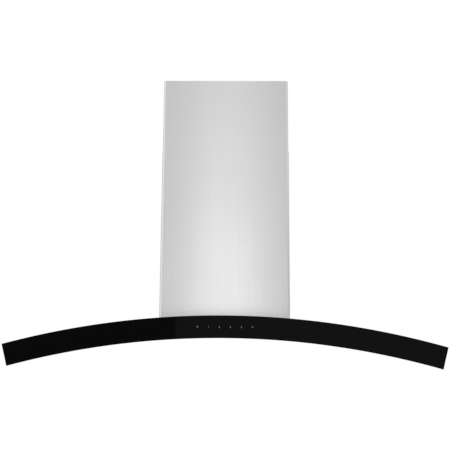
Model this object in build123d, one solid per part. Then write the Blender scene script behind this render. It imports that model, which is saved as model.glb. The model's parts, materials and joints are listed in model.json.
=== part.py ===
from build123d import *
import math
import os

# Wall mount range hood: an arched canopy with a glass front, under a two-part telescopic chimney.
# Millimetres. The origin lies on the wall, in the middle of the four screws that carry the hood.
# X runs to the right for someone facing the hood, Y runs into the wall and Z runs up.

# Canopy and front glass
HOOD_WIDTH = 900.0
HOOD_DEPTH = 480.0
CREST_DISTANCE = 180.0
ARCH_RADIUS = 1713.0
GLASS_HEIGHT = 45.4
GLASS_THICKNESS = 5.0
GLASS_ARRIS = 0.8
GLASS_OVERHANG = 1.0
GLASS_DROP = 3.0
TAPE_THICKNESS = 1.0
TAPE_WIDTH = 8.0
CANOPY_SHEET = 1.0
CANOPY_LIP = 14.0
PAN_SHEET = 0.8
PAN_GAP = 0.5
PAN_SEAT_GAP = 0.1
SAFETY_HOLE_RADIUS = 2.75
SAFETY_HOLE_SPACING = 560.0

# Touch control behind the glass
TOUCH_COUNT = 6
TOUCH_PITCH = 22.3
TOUCH_PAD_WIDTH = 12.0
TOUCH_PAD_THICKNESS = 0.5
TOUCH_MARGIN = 10.5
TOUCH_END = 18.0
TOUCH_BOARD_GAP = 1.0
TOUCH_BOARD_THICKNESS = 1.6
CARRIER_WALL = 2.0
CARRIER_RIM = 4.0
CARRIER_DEPTH = 9.0

# Baffle filters and the bays that hold them
FILTER_WIDTH = 230.0
FILTER_THICKNESS = 14.0
FILTER_SHEET = 0.8
FILTER_RAIL = 10.0
FILTER_FRONT_RAIL = 34.0
FILTER_SETBACK = 107.5
FILTER_SIDE_GAP = 1.5
FILTER_FRONT_GAP = 1.5
MULLION_WIDTH = 48.0
BAY_SHEET = 1.0
BAY_SETBACK = 98.0
BAY_MARGIN = 2.0
LEDGE_DEPTH = 10.0
HINGE_GAP = 1.0
HINGE_BAR_RADIUS = 1.5
HINGE_BAR_CLEARANCE = 0.3
TAB_WIDTH = 30.0
TAB_LENGTH = 8.0
TAB_INSET = 18.0
BAFFLE_WIDTH = 22.0
BAFFLE_HEIGHT = 7.0
BAFFLE_PITCH = 32.0
BAFFLE_SEAT = 8.0

# Filter latches
LATCH_WIDTH = 44.0
LATCH_LENGTH = 12.0
LATCH_THICKNESS = 3.0
LATCH_GAP = 0.3
TONGUE_WIDTH = 18.0
TONGUE_REACH = 2.0
TONGUE_GAP = 0.6
RETRACT_MARGIN = 0.5
PULL_WIDTH = 26.0
PULL_LENGTH = 6.0
PULL_DROP = 3.5
PULL_CHAMFER = 1.2
SPRING_SPAN = 36.0
SPRING_SHEET = 0.4
SPRING_FLAT = 1.5

# Lamps
LAMP_FLANGE_RADIUS = 35.0
LAMP_FLANGE = 2.0
LAMP_CAN_RADIUS = 27.0
LAMP_CAN_HEIGHT = 18.0
LAMP_WALL = 2.0
LAMP_HOLE_GAP = 1.0
LENS_GAP = 0.1
LENS_THICKNESS = 2.5
LED_BOARD_THICKNESS = 1.6
LED_BOARD_GAP = 1.5

# Chimney
CHIMNEY_WIDTH = 305.0
CHIMNEY_DEPTH = 290.0
CHIMNEY_SHEET = 0.6
CHIMNEY_BEND = 6.0
CHIMNEY_FLANGE = 8.0
CHIMNEY_RETURN = 8.0
CHIMNEY_SEAT_GAP = 0.2
WALL_GAP = 0.5
TELESCOPE_GAP = 0.3
LOWER_CHIMNEY_RISE = 392.5
UPPER_CHIMNEY_SHOWN = 176.0
UPPER_CHIMNEY_LENGTH = 400.0
CHIMNEY_BRACKET_SHEET = 1.5
CHIMNEY_BRACKET_HEIGHT = 16.0
CHIMNEY_BRACKET_DROP = 4.0
CHIMNEY_BRACKET_EAR = 20.0
CHIMNEY_BRACKET_HOLE = 2.75
CHIMNEY_BRACKET_SPACING = 200.0
RETURN_NOTCH_GAP = 4.0

# Wall bracket
BRACKET_SHEET = 2.0
BRACKET_WIDTH = 262.0
BRACKET_HEIGHT = 60.0
BRACKET_ROUND = 4.0
WALL_HOLE_RADIUS = 3.25
WALL_HOLE_SPACING_X = 236.0
WALL_HOLE_SPACING_Z = 36.0
HOOK_WIDTH = 24.0
HOOK_SPACING = 160.0
HOOK_HEIGHT = 12.0
HOOK_GAP = 0.8
HOOK_SLOT_GAP = 1.0
HOOK_SLOT_DROP = 10.0

# Blower box
BOX_SHEET = 1.2
BOX_FLANGE = 12.0
BOX_FLANGE_GAP = 2.0
BOX_BACK_GAP = 6.0
BOX_FRAME = 14.0
CONTROL_SPACE = 38.4
COVER_SHEET = 1.0

# Scroll, wheel and motor
SCROLL_SHEET = 1.0
SCROLL_LEFT_GAP = 6.0
SCROLL_RIGHT_GAP = 40.0
SCROLL_FLOOR_GAP = 20.0
SCROLL_STEP = 12.0
SCROLL_WIDTH = 112.0
TONGUE_CLEARANCE = 14.0
TONGUE_ROUND = 5.0
OUTLET_RISE = 26.0
TRANSITION_HEIGHT = 42.0
INLET_RIM = 9.0
INLET_HEIGHT = 6.0
INLET_TAPER = 5.0
INLET_GAP = 1.0
WHEEL_SIDE_GAP = 8.0
WHEEL_RING_SHEET = 2.0
WHEEL_DISC = 1.5
BLADE_COUNT = 36
BLADE_DEPTH = 13.0
BLADE_SHEET = 0.9
BLADE_SWEEP = 6.0
BLADE_BELLY = 2.2
HUB_RADIUS = 10.0
HUB_LENGTH = 22.0
SHAFT_RADIUS = 4.0
SHAFT_CLEARANCE = 0.05
SHAFT_END_GAP = 2.0
MOTOR_GAP = 15.0
MOTOR_DISC_GAP = 14.0
MOTOR_BELL = 14.0
MOTOR_BELL_STEP = 4.0
MOTOR_CHAMFER = 3.0
BUSH_HEIGHT = 4.0
BUSH_RADIUS = 7.0
BUSH_OFFSET = 17.0
MOTOR_ARM_WIDTH = 16.0
MOTOR_ARM_SHEET = 2.0
MOTOR_ARM_COUNT = 3

# Duct collar and back-draught flaps
COLLAR_RADIUS = 75.0
COLLAR_WALL = 2.0
COLLAR_HEIGHT = 50.0
COLLAR_FLANGE_RADIUS = 92.0
COLLAR_FLANGE = 2.5
COLLAR_SCREW_COUNT = 4
FLAP_LEVEL = 16.0
FLAP_SHEET = 1.2
FLAP_GAP = 1.5
FLAP_SPACING = 12.0
FLAP_ROD_RADIUS = 2.2
FLAP_ROD_CLEARANCE = 0.06
FLAP_STOP = 3.0
FLAP_STOP_GAP = 0.4
LUG_LENGTH = 8.0
LUG_WALL = 2.4
LUG_GAP = 1.0

# Control box, cable and gland
CONTROL_WIDTH = 150.0
CONTROL_HEIGHT = 80.0
CONTROL_DEPTH = 26.0
CONTROL_WALL = 2.0
CONTROL_ROUND = 5.0
CONTROL_RISE = 110.0
CABLE_RADIUS = 2.2
CABLE_CLEARANCE = 0.1
CABLE_BEND = 10.0
CABLE_LIFT = 5.5
CABLE_OFFSET = 60.0
CABLE_ENTRY = 8.0
GROMMET_RADIUS = 8.0
GROMMET_NECK = 6.0
GROMMET_RIM = 2.0
GLAND_RADIUS = 9.0
GLAND_NECK = 6.0
GLAND_NUT = 7.0
GLAND_DOME = 9.0
GLAND_BORE = 3.5
GLAND_CHAMFER = 3.0
GLAND_DOME_RADIUS = 7.0

# Screws
SCREW_RADIUS = 1.9
SCREW_CLEARANCE = 0.15
SCREW_LENGTH = 7.0
SCREW_HEAD_RADIUS = 3.6
SCREW_HEAD_HEIGHT = 1.4
SCREW_SIDES = 8
SCREW_EDGE = 7.0
FLANGE_SCREW_EDGE = 6.0

# Levels and faces that follow from the sizes above
CREST_Z = -CREST_DISTANCE
ARCH_CENTRE_Z = CREST_Z - ARCH_RADIUS
END_ANGLE = math.asin(HOOD_WIDTH / 2 / ARCH_RADIUS)
GLASS_FRONT = -HOOD_DEPTH
GLASS_BACK = GLASS_FRONT + GLASS_THICKNESS
GLASS_BOTTOM = ARCH_RADIUS - GLASS_HEIGHT
BODY_FRONT = GLASS_BACK + TAPE_THICKNESS
BODY_TOP = ARCH_RADIUS - GLASS_OVERHANG
BODY_BOTTOM = GLASS_BOTTOM + GLASS_DROP
BODY_ANGLE = END_ANGLE - GLASS_OVERHANG / ARCH_RADIUS
INNER_ANGLE = BODY_ANGLE - CANOPY_SHEET / BODY_BOTTOM
PAN_BOTTOM = BODY_BOTTOM + CANOPY_SHEET
PAN_TOP = PAN_BOTTOM + PAN_SHEET
TOUCH_Z = ARCH_CENTRE_Z + (ARCH_RADIUS + GLASS_BOTTOM) / 2
TOUCH_WINDOW_WIDTH = (TOUCH_COUNT - 1) * TOUCH_PITCH + TOUCH_PAD_WIDTH + 2 * TOUCH_END
TOUCH_WINDOW_HEIGHT = BODY_TOP - BODY_BOTTOM - 2 * TOUCH_MARGIN
TOUCH_BOARD_FRONT = GLASS_BACK + TOUCH_PAD_THICKNESS
TOUCH_BOARD_BACK = TOUCH_BOARD_FRONT + TOUCH_BOARD_THICKNESS
CARRIER_FRONT = BODY_FRONT + CANOPY_SHEET
CARRIER_BACK = CARRIER_FRONT + CARRIER_DEPTH

HINGE_LEVEL = PAN_TOP + HINGE_BAR_RADIUS
FILTER_SEAT = HINGE_LEVEL + HINGE_BAR_RADIUS + HINGE_BAR_CLEARANCE
FILTER_TOP = FILTER_SEAT + FILTER_THICKNESS
BAY_WIDTH = FILTER_WIDTH + 2 * FILTER_SIDE_GAP
BAY_TOP = FILTER_TOP + BAY_MARGIN
BAY_BACK = -BAY_SETBACK
LEDGE_FRONT = BAY_BACK - LEDGE_DEPTH
FILTER_BACK = LEDGE_FRONT - HINGE_GAP
BAY_FRONT = GLASS_FRONT + FILTER_SETBACK
FILTER_FRONT = BAY_FRONT + FILTER_FRONT_GAP
FILTER_ANGLE = (MULLION_WIDTH + FILTER_WIDTH) / 2 / FILTER_SEAT
BAY_END_ANGLE = FILTER_ANGLE + (BAY_WIDTH / 2 + BAY_SHEET) / PAN_TOP
LAMP_ANGLE = (BAY_END_ANGLE + INNER_ANGLE) / 2
LAMP_Y = (BAY_FRONT + BAY_BACK) / 2
TONGUE_BOTTOM = FILTER_SEAT + FILTER_SHEET + LATCH_GAP
TONGUE_TOP = TONGUE_BOTTOM + LATCH_THICKNESS
TONGUE_TIP = BAY_FRONT - BAY_SHEET - TONGUE_REACH
LATCH_FRONT = FILTER_FRONT + FILTER_SHEET + LATCH_GAP
LATCH_BACK = LATCH_FRONT + LATCH_LENGTH
LATCH_TRAVEL = FILTER_FRONT - TONGUE_TIP + RETRACT_MARGIN
PULL_FRONT = LATCH_FRONT + (LATCH_LENGTH - PULL_LENGTH) / 2
SPRING_FRONT = LATCH_BACK + LATCH_GAP
SPRING_STOP = SPRING_FRONT + LATCH_TRAVEL + SPRING_FLAT

CHIMNEY_FRONT = -CHIMNEY_DEPTH
CHIMNEY_HALF = CHIMNEY_WIDTH / 2
CHIMNEY_INNER = CHIMNEY_HALF - CHIMNEY_SHEET
UPPER_STEP = CHIMNEY_SHEET + TELESCOPE_GAP
UPPER_HALF = CHIMNEY_HALF - UPPER_STEP
UPPER_INNER = UPPER_HALF - CHIMNEY_SHEET
LOWER_CHIMNEY_TOP = CREST_Z + LOWER_CHIMNEY_RISE
UPPER_CHIMNEY_TOP = LOWER_CHIMNEY_TOP + UPPER_CHIMNEY_SHOWN
UPPER_CHIMNEY_BOTTOM = UPPER_CHIMNEY_TOP - UPPER_CHIMNEY_LENGTH
CHIMNEY_BRACKET_TOP = UPPER_CHIMNEY_TOP - CHIMNEY_BRACKET_DROP
CHIMNEY_BRACKET_BOTTOM = CHIMNEY_BRACKET_TOP - CHIMNEY_BRACKET_HEIGHT
CHIMNEY_BRACKET_Z = (CHIMNEY_BRACKET_TOP + CHIMNEY_BRACKET_BOTTOM) / 2

BOX_HALF = CHIMNEY_INNER - CHIMNEY_FLANGE - BOX_FLANGE_GAP - BOX_FLANGE
BOX_INNER = BOX_HALF - BOX_SHEET
BOX_BACK = -BOX_BACK_GAP
BOX_FRONT = CHIMNEY_FRONT + CHIMNEY_SHEET + CONTROL_SPACE
COVER_FRONT = BOX_FRONT - COVER_SHEET
BLOWER_Y = (BOX_FRONT + BOX_BACK) / 2
SCROLL_SPAN = 2 * BOX_INNER - SCROLL_LEFT_GAP - SCROLL_RIGHT_GAP - 2 * SCROLL_SHEET
SCROLL_START = (SCROLL_SPAN - 3 * SCROLL_STEP) / 2
WHEEL_RADIUS = SCROLL_START - TONGUE_CLEARANCE
WHEEL_INNER = WHEEL_RADIUS - BLADE_DEPTH
WHEEL_HALF = SCROLL_WIDTH / 2 - WHEEL_SIDE_GAP
WHEEL_X = -BOX_INNER + SCROLL_LEFT_GAP + SCROLL_SHEET + SCROLL_START + SCROLL_STEP / 2
WHEEL_Z = CREST_Z + SCROLL_FLOOR_GAP + SCROLL_SHEET + SCROLL_START + 1.5 * SCROLL_STEP
OUTLET_Z = WHEEL_Z - SCROLL_STEP / 2 + SCROLL_START + OUTLET_RISE
OUTLET_LEFT = WHEEL_X - SCROLL_STEP / 2
OUTLET_RIGHT = WHEEL_X + SCROLL_START + 2.5 * SCROLL_STEP
SCROLL_FRONT = BLOWER_Y - SCROLL_WIDTH / 2
SCROLL_BACK = BLOWER_Y + SCROLL_WIDTH / 2
INLET_RADIUS = WHEEL_INNER + INLET_GAP
BUSH_CIRCLE = WHEEL_INNER + BUSH_OFFSET
MOTOR_RADIUS = WHEEL_INNER - MOTOR_GAP
MOTOR_FRONT = BLOWER_Y + MOTOR_DISC_GAP
MOTOR_BACK = SCROLL_BACK + SCROLL_SHEET + BUSH_HEIGHT
SHAFT_BACK = MOTOR_BACK - MOTOR_BELL
BOX_CEILING = OUTLET_Z + TRANSITION_HEIGHT
BOX_TOP = BOX_CEILING + BOX_SHEET

COLLAR_INNER = COLLAR_RADIUS - COLLAR_WALL
COLLAR_TOP = BOX_TOP + COLLAR_FLANGE + COLLAR_HEIGHT
FLAP_Z = BOX_TOP + FLAP_LEVEL
LUG_INNER = COLLAR_INNER - LUG_LENGTH
CONTROL_BACK = COVER_FRONT
CONTROL_FRONT = CONTROL_BACK - CONTROL_DEPTH
LID_FRONT = CONTROL_FRONT - CONTROL_WALL
CONTROL_BOTTOM = CREST_Z + CONTROL_RISE
CONTROL_TOP = CONTROL_BOTTOM + CONTROL_HEIGHT
CONTROL_Y = (CONTROL_BACK + CONTROL_FRONT) / 2
CABLE_Z = TOUCH_Z + CABLE_LIFT
HOOK_TOP = BRACKET_SHEET

FROM_BASE = (Align.CENTER, Align.CENTER, Align.MIN)
FACING_FRONT = Rot(90, 0, 0)
FACING_BACK = Rot(-90, 0, 0)
FACING_DOWN = Rot(180, 0, 0)


def centred(width):
    """The two limits of a width about zero."""
    return (-width / 2, width / 2)


def about(middle, width):
    """The two limits of a width about a middle."""
    return (middle - width / 2, middle + width / 2)


def block(x_limits, y_limits, z_limits):
    """A box between two limits along each axis."""
    limits = (x_limits, y_limits, z_limits)
    size = [high - low for low, high in limits]
    middle = [(low + high) / 2 for low, high in limits]
    return Pos(*middle) * Box(*size)


def rod_along_y(radius, x, z, front, back):
    """A round bar along Y between two depths."""
    return Pos(x, (front + back) / 2, z) * Rot(90, 0, 0) * Cylinder(radius, back - front)


def rod_along_x(radius, y, z, left, right):
    """A round bar along X between two sides."""
    return Pos((left + right) / 2, y, z) * Rot(0, 90, 0) * Cylinder(radius, right - left)


def rod_along_z(radius, x, y, bottom, top):
    """A round bar along Z between two levels."""
    return Pos(x, y, (bottom + top) / 2) * Cylinder(radius, top - bottom)


def group(shapes):
    """Separate solids that share one node."""
    return Compound([solid for shape in shapes for solid in shape.solids()])


def arch_point(radius, angle):
    """A point of the front view at a radius and an angle from the crest of the arch."""
    return (radius * math.sin(angle), ARCH_CENTRE_Z + radius * math.cos(angle))


def arch_slice(inner, outer, angle, front, back):
    """A slice of the arch between two radii, with radial ends, between two depths."""
    low = [arch_point(inner, side) for side in (-angle, 0, angle)]
    high = [arch_point(outer, side) for side in (angle, 0, -angle)]
    sides = [Line(low[2], high[0]), Line(high[2], low[0])]
    outline = [ThreePointArc(*low), ThreePointArc(*high)] + sides
    return extrude(Plane.XZ.offset(-back) * make_face(outline), back - front)


def on_arch(angle, y=0.0, radius=0.0):
    """The place at an angle, a depth and a radius of the arch, with Z pointing away from its axis."""
    return Pos(0, 0, ARCH_CENTRE_Z) * Rot(0, math.degrees(angle), 0) * Pos(0, y, radius)


def screw():
    """A hexagon head screw: the head stands on the plane Z = 0 and the shank hangs below it."""
    head = extrude(RegularPolygon(SCREW_HEAD_RADIUS, 6), SCREW_HEAD_HEIGHT)
    return head + extrude(RegularPolygon(SCREW_RADIUS, SCREW_SIDES), -SCREW_LENGTH)


def screws(places):
    """One screw at each place."""
    return group([place * screw() for place in places])


def drilled(piece, places):
    """The piece with a clearance hole for the screw at each place."""
    hole = extrude(RegularPolygon(SCREW_RADIUS + SCREW_CLEARANCE, SCREW_SIDES), SCREW_LENGTH, both=True)
    for place in places:
        piece = piece - place * hole
    return piece


def pan_screw_places():
    """The places of the screws that hold the underpan on the canopy's lip, seen from below."""
    depths = (BODY_FRONT + CANOPY_LIP - SCREW_EDGE, SCREW_EDGE - CANOPY_LIP)
    angles = (-LAMP_ANGLE, 0, LAMP_ANGLE)
    level = math.sqrt(BODY_BOTTOM ** 2 - SCREW_HEAD_RADIUS ** 2)
    return [on_arch(angle, y, level) * FACING_DOWN for y in depths for angle in angles]


def box_screw_places():
    """The places of the screws through the blower box's side flanges."""
    angle = (BOX_HALF + BOX_FLANGE - FLANGE_SCREW_EDGE) / BODY_TOP
    depths = (BOX_FRONT + BOX_FRAME, BOX_BACK - BOX_FRAME)
    return [on_arch(side * angle, y, BODY_TOP + BOX_SHEET) for side in (-1, 1) for y in depths]


def chimney_screw_places():
    """The places of the screws through the lower chimney's inner flange."""
    angle = (CHIMNEY_INNER - CHIMNEY_FLANGE / 2) / BODY_TOP
    depths = (BOX_FRONT + BOX_FRAME, BOX_BACK - BOX_FRAME)
    level = BODY_TOP + CHIMNEY_SEAT_GAP + CHIMNEY_SHEET
    return [on_arch(side * angle, y, level) for side in (-1, 1) for y in depths]


def cover_screw_places():
    """The places of the screws round the blower cover."""
    across = BOX_HALF - SCREW_EDGE
    levels = (CREST_Z + BOX_FRAME + SCREW_EDGE, (CREST_Z + BOX_TOP) / 2, BOX_TOP - SCREW_EDGE)
    return [Pos(side * across, COVER_FRONT, z) * FACING_FRONT for side in (-1, 1) for z in levels]


def collar_screw_places():
    """The places of the screws through the collar's flange."""
    circle = (COLLAR_RADIUS + COLLAR_FLANGE_RADIUS) / 2
    ring = PolarLocations(circle, COLLAR_SCREW_COUNT, start_angle=180 / COLLAR_SCREW_COUNT)
    return [Pos(0, BLOWER_Y, BOX_TOP + COLLAR_FLANGE) * place for place in ring]


def bracket_screw_places():
    """The places of the two screws that hold the upper chimney on its bracket."""
    y = -CHIMNEY_BRACKET_EAR / 2
    return [Pos(side * UPPER_HALF, y, CHIMNEY_BRACKET_Z) * Rot(0, side * 90, 0) for side in (-1, 1)]


def lid_screw_places():
    """The places of the screws in two opposite corners of the control box lid."""
    x = CONTROL_WIDTH / 2 - SCREW_EDGE
    z = CONTROL_HEIGHT / 2 - SCREW_EDGE
    middle = Pos(0, LID_FRONT, (CONTROL_BOTTOM + CONTROL_TOP) / 2)
    return [middle * Pos(side * x, 0, side * z) * FACING_FRONT for side in (-1, 1)]


def motor_axis():
    """The place on the wheel's axis at the middle of the blower, with Z pointing to the wall."""
    return Pos(WHEEL_X, BLOWER_Y, WHEEL_Z) * FACING_BACK


def motor_screw_places():
    """The places of the screws through the feet of the motor bracket."""
    height = MOTOR_BACK + MOTOR_ARM_SHEET - BLOWER_Y
    ring = PolarLocations(BUSH_CIRCLE, MOTOR_ARM_COUNT)
    return [motor_axis() * Pos(0, 0, height) * place for place in ring]


def front_glass():
    """The arched glass strip with ground edges."""
    glass = arch_slice(GLASS_BOTTOM, ARCH_RADIUS, END_ANGLE, GLASS_FRONT, GLASS_BACK)
    return chamfer(glass.faces().sort_by(Axis.Y)[0].edges(), GLASS_ARRIS)


def glass_tape():
    """The bonding tape that runs round the back of the glass."""
    outer = arch_slice(BODY_BOTTOM, BODY_TOP, BODY_ANGLE, GLASS_BACK, BODY_FRONT)
    inner_angle = BODY_ANGLE - TAPE_WIDTH / BODY_TOP
    inner_radii = (BODY_BOTTOM + TAPE_WIDTH, BODY_TOP - TAPE_WIDTH)
    return outer - arch_slice(*inner_radii, inner_angle, GLASS_BACK, BODY_FRONT)


def canopy_shell():
    """The folded canopy: top, front, back and ends, with a lip round its open underside."""
    outside = arch_slice(BODY_BOTTOM, BODY_TOP, BODY_ANGLE, BODY_FRONT, 0)
    depth = (BODY_FRONT + CANOPY_SHEET, -CANOPY_SHEET)
    inside = arch_slice(PAN_BOTTOM, BODY_TOP - CANOPY_SHEET, INNER_ANGLE, *depth)
    mouth_angle = BODY_ANGLE - CANOPY_LIP / BODY_BOTTOM
    mouth_depth = (BODY_FRONT + CANOPY_LIP, -CANOPY_LIP)
    mouth = arch_slice(BODY_BOTTOM - CANOPY_SHEET, PAN_TOP, mouth_angle, *mouth_depth)
    window_height = about(TOUCH_Z, TOUCH_WINDOW_HEIGHT)
    window = block(centred(TOUCH_WINDOW_WIDTH), (GLASS_BACK, CARRIER_BACK), window_height)
    inlet_depth = (BOX_FRONT + BOX_SHEET, BOX_BACK - BOX_SHEET)
    inlet = block(centred(2 * BOX_INNER), inlet_depth, about(CREST_Z, GLASS_HEIGHT))
    shell = outside - inside - mouth - window - inlet - cable_hole(GROMMET_NECK)
    for side in (-1, 1):
        x = side * SAFETY_HOLE_SPACING / 2
        shell = shell - rod_along_y(SAFETY_HOLE_RADIUS, x, safety_hole_level(), -CANOPY_LIP, CANOPY_LIP)
    return drilled(shell, pan_screw_places() + box_screw_places() + chimney_screw_places())


def safety_hole_level():
    """The level of the middle of the canopy's back wall at the two safety screws."""
    middle = (BODY_TOP + BODY_BOTTOM) / 2
    return ARCH_CENTRE_Z + math.sqrt(middle ** 2 - (SAFETY_HOLE_SPACING / 2) ** 2)


def cable_hole(radius):
    """A round hole through the canopy's top, in front of the blower box."""
    return rod_along_z(radius, CABLE_OFFSET, CONTROL_Y, CREST_Z - GLASS_HEIGHT / 2, CREST_Z + GLASS_HEIGHT)


def canopy_underpan():
    """The arched pan that closes the canopy from below, round the filters and the lamps."""
    edge_angle = INNER_ANGLE - PAN_GAP / PAN_BOTTOM
    pan_depth = (BODY_FRONT + CANOPY_SHEET + PAN_GAP, -CANOPY_SHEET - PAN_GAP)
    pan = arch_slice(PAN_BOTTOM, PAN_TOP, edge_angle, *pan_depth)
    bay_levels = (PAN_BOTTOM - FILTER_THICKNESS, BAY_TOP)
    opening = block(centred(BAY_WIDTH), (BAY_FRONT, BAY_BACK), bay_levels)
    lamp_hole = rod_along_z(LAMP_CAN_RADIUS + LAMP_HOLE_GAP, 0, LAMP_Y, *bay_levels)
    for side in (-1, 1):
        pan = pan - on_arch(side * FILTER_ANGLE) * opening - on_arch(side * LAMP_ANGLE) * lamp_hole
    return drilled(pan, pan_screw_places())


def filter_bay():
    """The frame round one filter, scribed to the pan, with a hinge bar and a keeper slot."""
    levels = (PAN_BOTTOM - FILTER_THICKNESS, BAY_TOP)
    outer_depth = (BAY_FRONT - BAY_SHEET, BAY_BACK + BAY_SHEET)
    walls = block(centred(BAY_WIDTH + 2 * BAY_SHEET), outer_depth, levels)
    walls = walls - block(centred(BAY_WIDTH), (BAY_FRONT, BAY_BACK), levels)
    scribe = PAN_TOP + PAN_SEAT_GAP
    walls = walls - rod_along_y(scribe, 0, 0, BAY_FRONT - LEDGE_DEPTH, BAY_BACK + LEDGE_DEPTH)
    keeper_levels = (TONGUE_BOTTOM - TONGUE_GAP, TONGUE_TOP + TONGUE_GAP)
    keeper_depth = (BAY_FRONT - BAY_SHEET, BAY_FRONT)
    keeper = block(centred(TONGUE_WIDTH + 2 * TONGUE_GAP), keeper_depth, keeper_levels)
    ledge_depth = (LEDGE_FRONT, BAY_BACK + BAY_SHEET / 2)
    ledge = block(centred(BAY_WIDTH + BAY_SHEET), ledge_depth, about(HINGE_LEVEL, BAY_SHEET))
    bar = rod_along_x(HINGE_BAR_RADIUS, LEDGE_FRONT, HINGE_LEVEL, *centred(BAY_WIDTH + BAY_SHEET))
    return walls - keeper + ledge + bar


def filter_frame():
    """The folded frame of one filter, with two rear tabs, a wide front rail and the latch's slots."""
    frame = block(centred(FILTER_WIDTH), (FILTER_FRONT, FILTER_BACK), (FILTER_SEAT, FILTER_TOP))
    hollow_depth = (FILTER_FRONT + FILTER_SHEET, FILTER_BACK - FILTER_SHEET)
    floor = FILTER_SEAT + FILTER_SHEET
    hollow_levels = (floor, FILTER_TOP - FILTER_SHEET)
    hollow = block(centred(FILTER_WIDTH - 2 * FILTER_SHEET), hollow_depth, hollow_levels)
    window_depth = (FILTER_FRONT + FILTER_FRONT_RAIL, FILTER_BACK - FILTER_RAIL)
    window = block(centred(FILTER_WIDTH - 2 * FILTER_RAIL), window_depth, (FILTER_SEAT, FILTER_TOP))
    slot_depth = (PULL_FRONT - TONGUE_GAP, PULL_FRONT + PULL_LENGTH + LATCH_TRAVEL + TONGUE_GAP)
    pull_slot = block(centred(PULL_WIDTH + 2 * TONGUE_GAP), slot_depth, (FILTER_SEAT, floor))
    tongue_levels = (TONGUE_BOTTOM - LATCH_GAP, TONGUE_TOP + LATCH_GAP)
    tongue_depth = (FILTER_FRONT, FILTER_FRONT + FILTER_SHEET)
    tongue_slot = block(centred(TONGUE_WIDTH + 2 * LATCH_GAP), tongue_depth, tongue_levels)
    stop_depth = (SPRING_STOP, SPRING_STOP + FILTER_SHEET)
    stop = block(centred(LATCH_WIDTH), stop_depth, (FILTER_SEAT, TONGUE_TOP))
    frame = frame - hollow - window - pull_slot - tongue_slot + stop
    tab_depth = (FILTER_BACK - FILTER_SHEET, FILTER_BACK + HINGE_GAP + TAB_LENGTH)
    for side in (-1, 1):
        middle = side * (FILTER_WIDTH / 2 - TAB_INSET - TAB_WIDTH / 2)
        frame = frame + block(about(middle, TAB_WIDTH), tab_depth, (FILTER_SEAT, floor))
    return frame


def baffle(middle, bottom, trough_shift):
    """One U-shaped baffle along Y; the shift moves its trough up or down out of the section."""
    depth = (FILTER_FRONT + FILTER_FRONT_RAIL - BAFFLE_SEAT, FILTER_BACK - FILTER_SHEET)
    level = bottom + BAFFLE_HEIGHT / 2
    outer = block(about(middle, BAFFLE_WIDTH), depth, about(level, BAFFLE_HEIGHT))
    trough_level = about(level + trough_shift, BAFFLE_HEIGHT)
    return outer - block(about(middle, BAFFLE_WIDTH - 2 * FILTER_SHEET), depth, trough_level)


def lower_baffles():
    """The lower row of baffles, open upwards, standing on the frame's lower flanges."""
    room = FILTER_WIDTH - 2 * FILTER_SHEET - BAFFLE_WIDTH
    count = int(room // BAFFLE_PITCH) + 1
    bottom = FILTER_SEAT + FILTER_SHEET
    row = [(place - (count - 1) / 2) * BAFFLE_PITCH for place in range(count)]
    return group([baffle(middle, bottom, FILTER_SHEET) for middle in row])


def upper_baffles():
    """The upper row of baffles, open downwards, hung from the frame's upper flanges."""
    room = FILTER_WIDTH - 2 * FILTER_SHEET - BAFFLE_WIDTH
    count = int(room // BAFFLE_PITCH)
    bottom = FILTER_TOP - FILTER_SHEET - BAFFLE_HEIGHT
    row = [(place - (count - 1) / 2) * BAFFLE_PITCH for place in range(count)]
    return group([baffle(middle, bottom, -FILTER_SHEET) for middle in row])


def latch():
    """The sliding latch: a plate with a tongue in front and a finger pull below."""
    levels = (TONGUE_BOTTOM, TONGUE_TOP)
    plate = block(centred(LATCH_WIDTH), (LATCH_FRONT, LATCH_BACK), levels)
    tongue = block(centred(TONGUE_WIDTH), (TONGUE_TIP, LATCH_FRONT), levels)
    pull_depth = (PULL_FRONT, PULL_FRONT + PULL_LENGTH)
    pull = block(centred(PULL_WIDTH), pull_depth, (FILTER_SEAT - PULL_DROP, TONGUE_BOTTOM))
    pull = chamfer(pull.faces().sort_by(Axis.Z)[0].edges(), PULL_CHAMFER)
    return plate + tongue + pull


def latch_spring():
    """The bowed leaf spring between the latch and its stop on the filter frame."""
    half = SPRING_SPAN / 2
    end_y = SPRING_STOP - SPRING_SHEET
    front = ThreePointArc((-half, end_y), (0, SPRING_FRONT), (half, end_y))
    back = ThreePointArc((half, SPRING_STOP), (0, SPRING_FRONT + SPRING_SHEET), (-half, SPRING_STOP))
    leaf = make_face([front, Line(front @ 1, back @ 0), back, Line(back @ 1, front @ 0)])
    return extrude(Pos(0, 0, TONGUE_BOTTOM - LATCH_GAP) * leaf, LATCH_THICKNESS)


def lamp_flange_top():
    """The level of the lamp's flat flange, which meets the curved pan along two edges."""
    return math.sqrt(PAN_BOTTOM ** 2 - LAMP_FLANGE_RADIUS ** 2) - PAN_SEAT_GAP


def lamp_housing():
    """The lamp's can and flange in one, open below."""
    top = lamp_flange_top()
    bottom = top - LAMP_FLANGE
    ceiling = top + LAMP_CAN_HEIGHT
    flange = rod_along_z(LAMP_FLANGE_RADIUS, 0, LAMP_Y, bottom, top)
    flange = chamfer(flange.edges().group_by(Axis.Z)[0], LAMP_FLANGE / 2)
    can = rod_along_z(LAMP_CAN_RADIUS, 0, LAMP_Y, top, ceiling)
    hollow = rod_along_z(LAMP_CAN_RADIUS - LAMP_WALL, 0, LAMP_Y, bottom, ceiling - LAMP_WALL)
    return flange + can - hollow


def lamp_lens():
    """The lamp's cover disc, flush with the flange."""
    bottom = lamp_flange_top() - LAMP_FLANGE
    radius = LAMP_CAN_RADIUS - LAMP_WALL - LENS_GAP
    return rod_along_z(radius, 0, LAMP_Y, bottom, bottom + LENS_THICKNESS)


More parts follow.
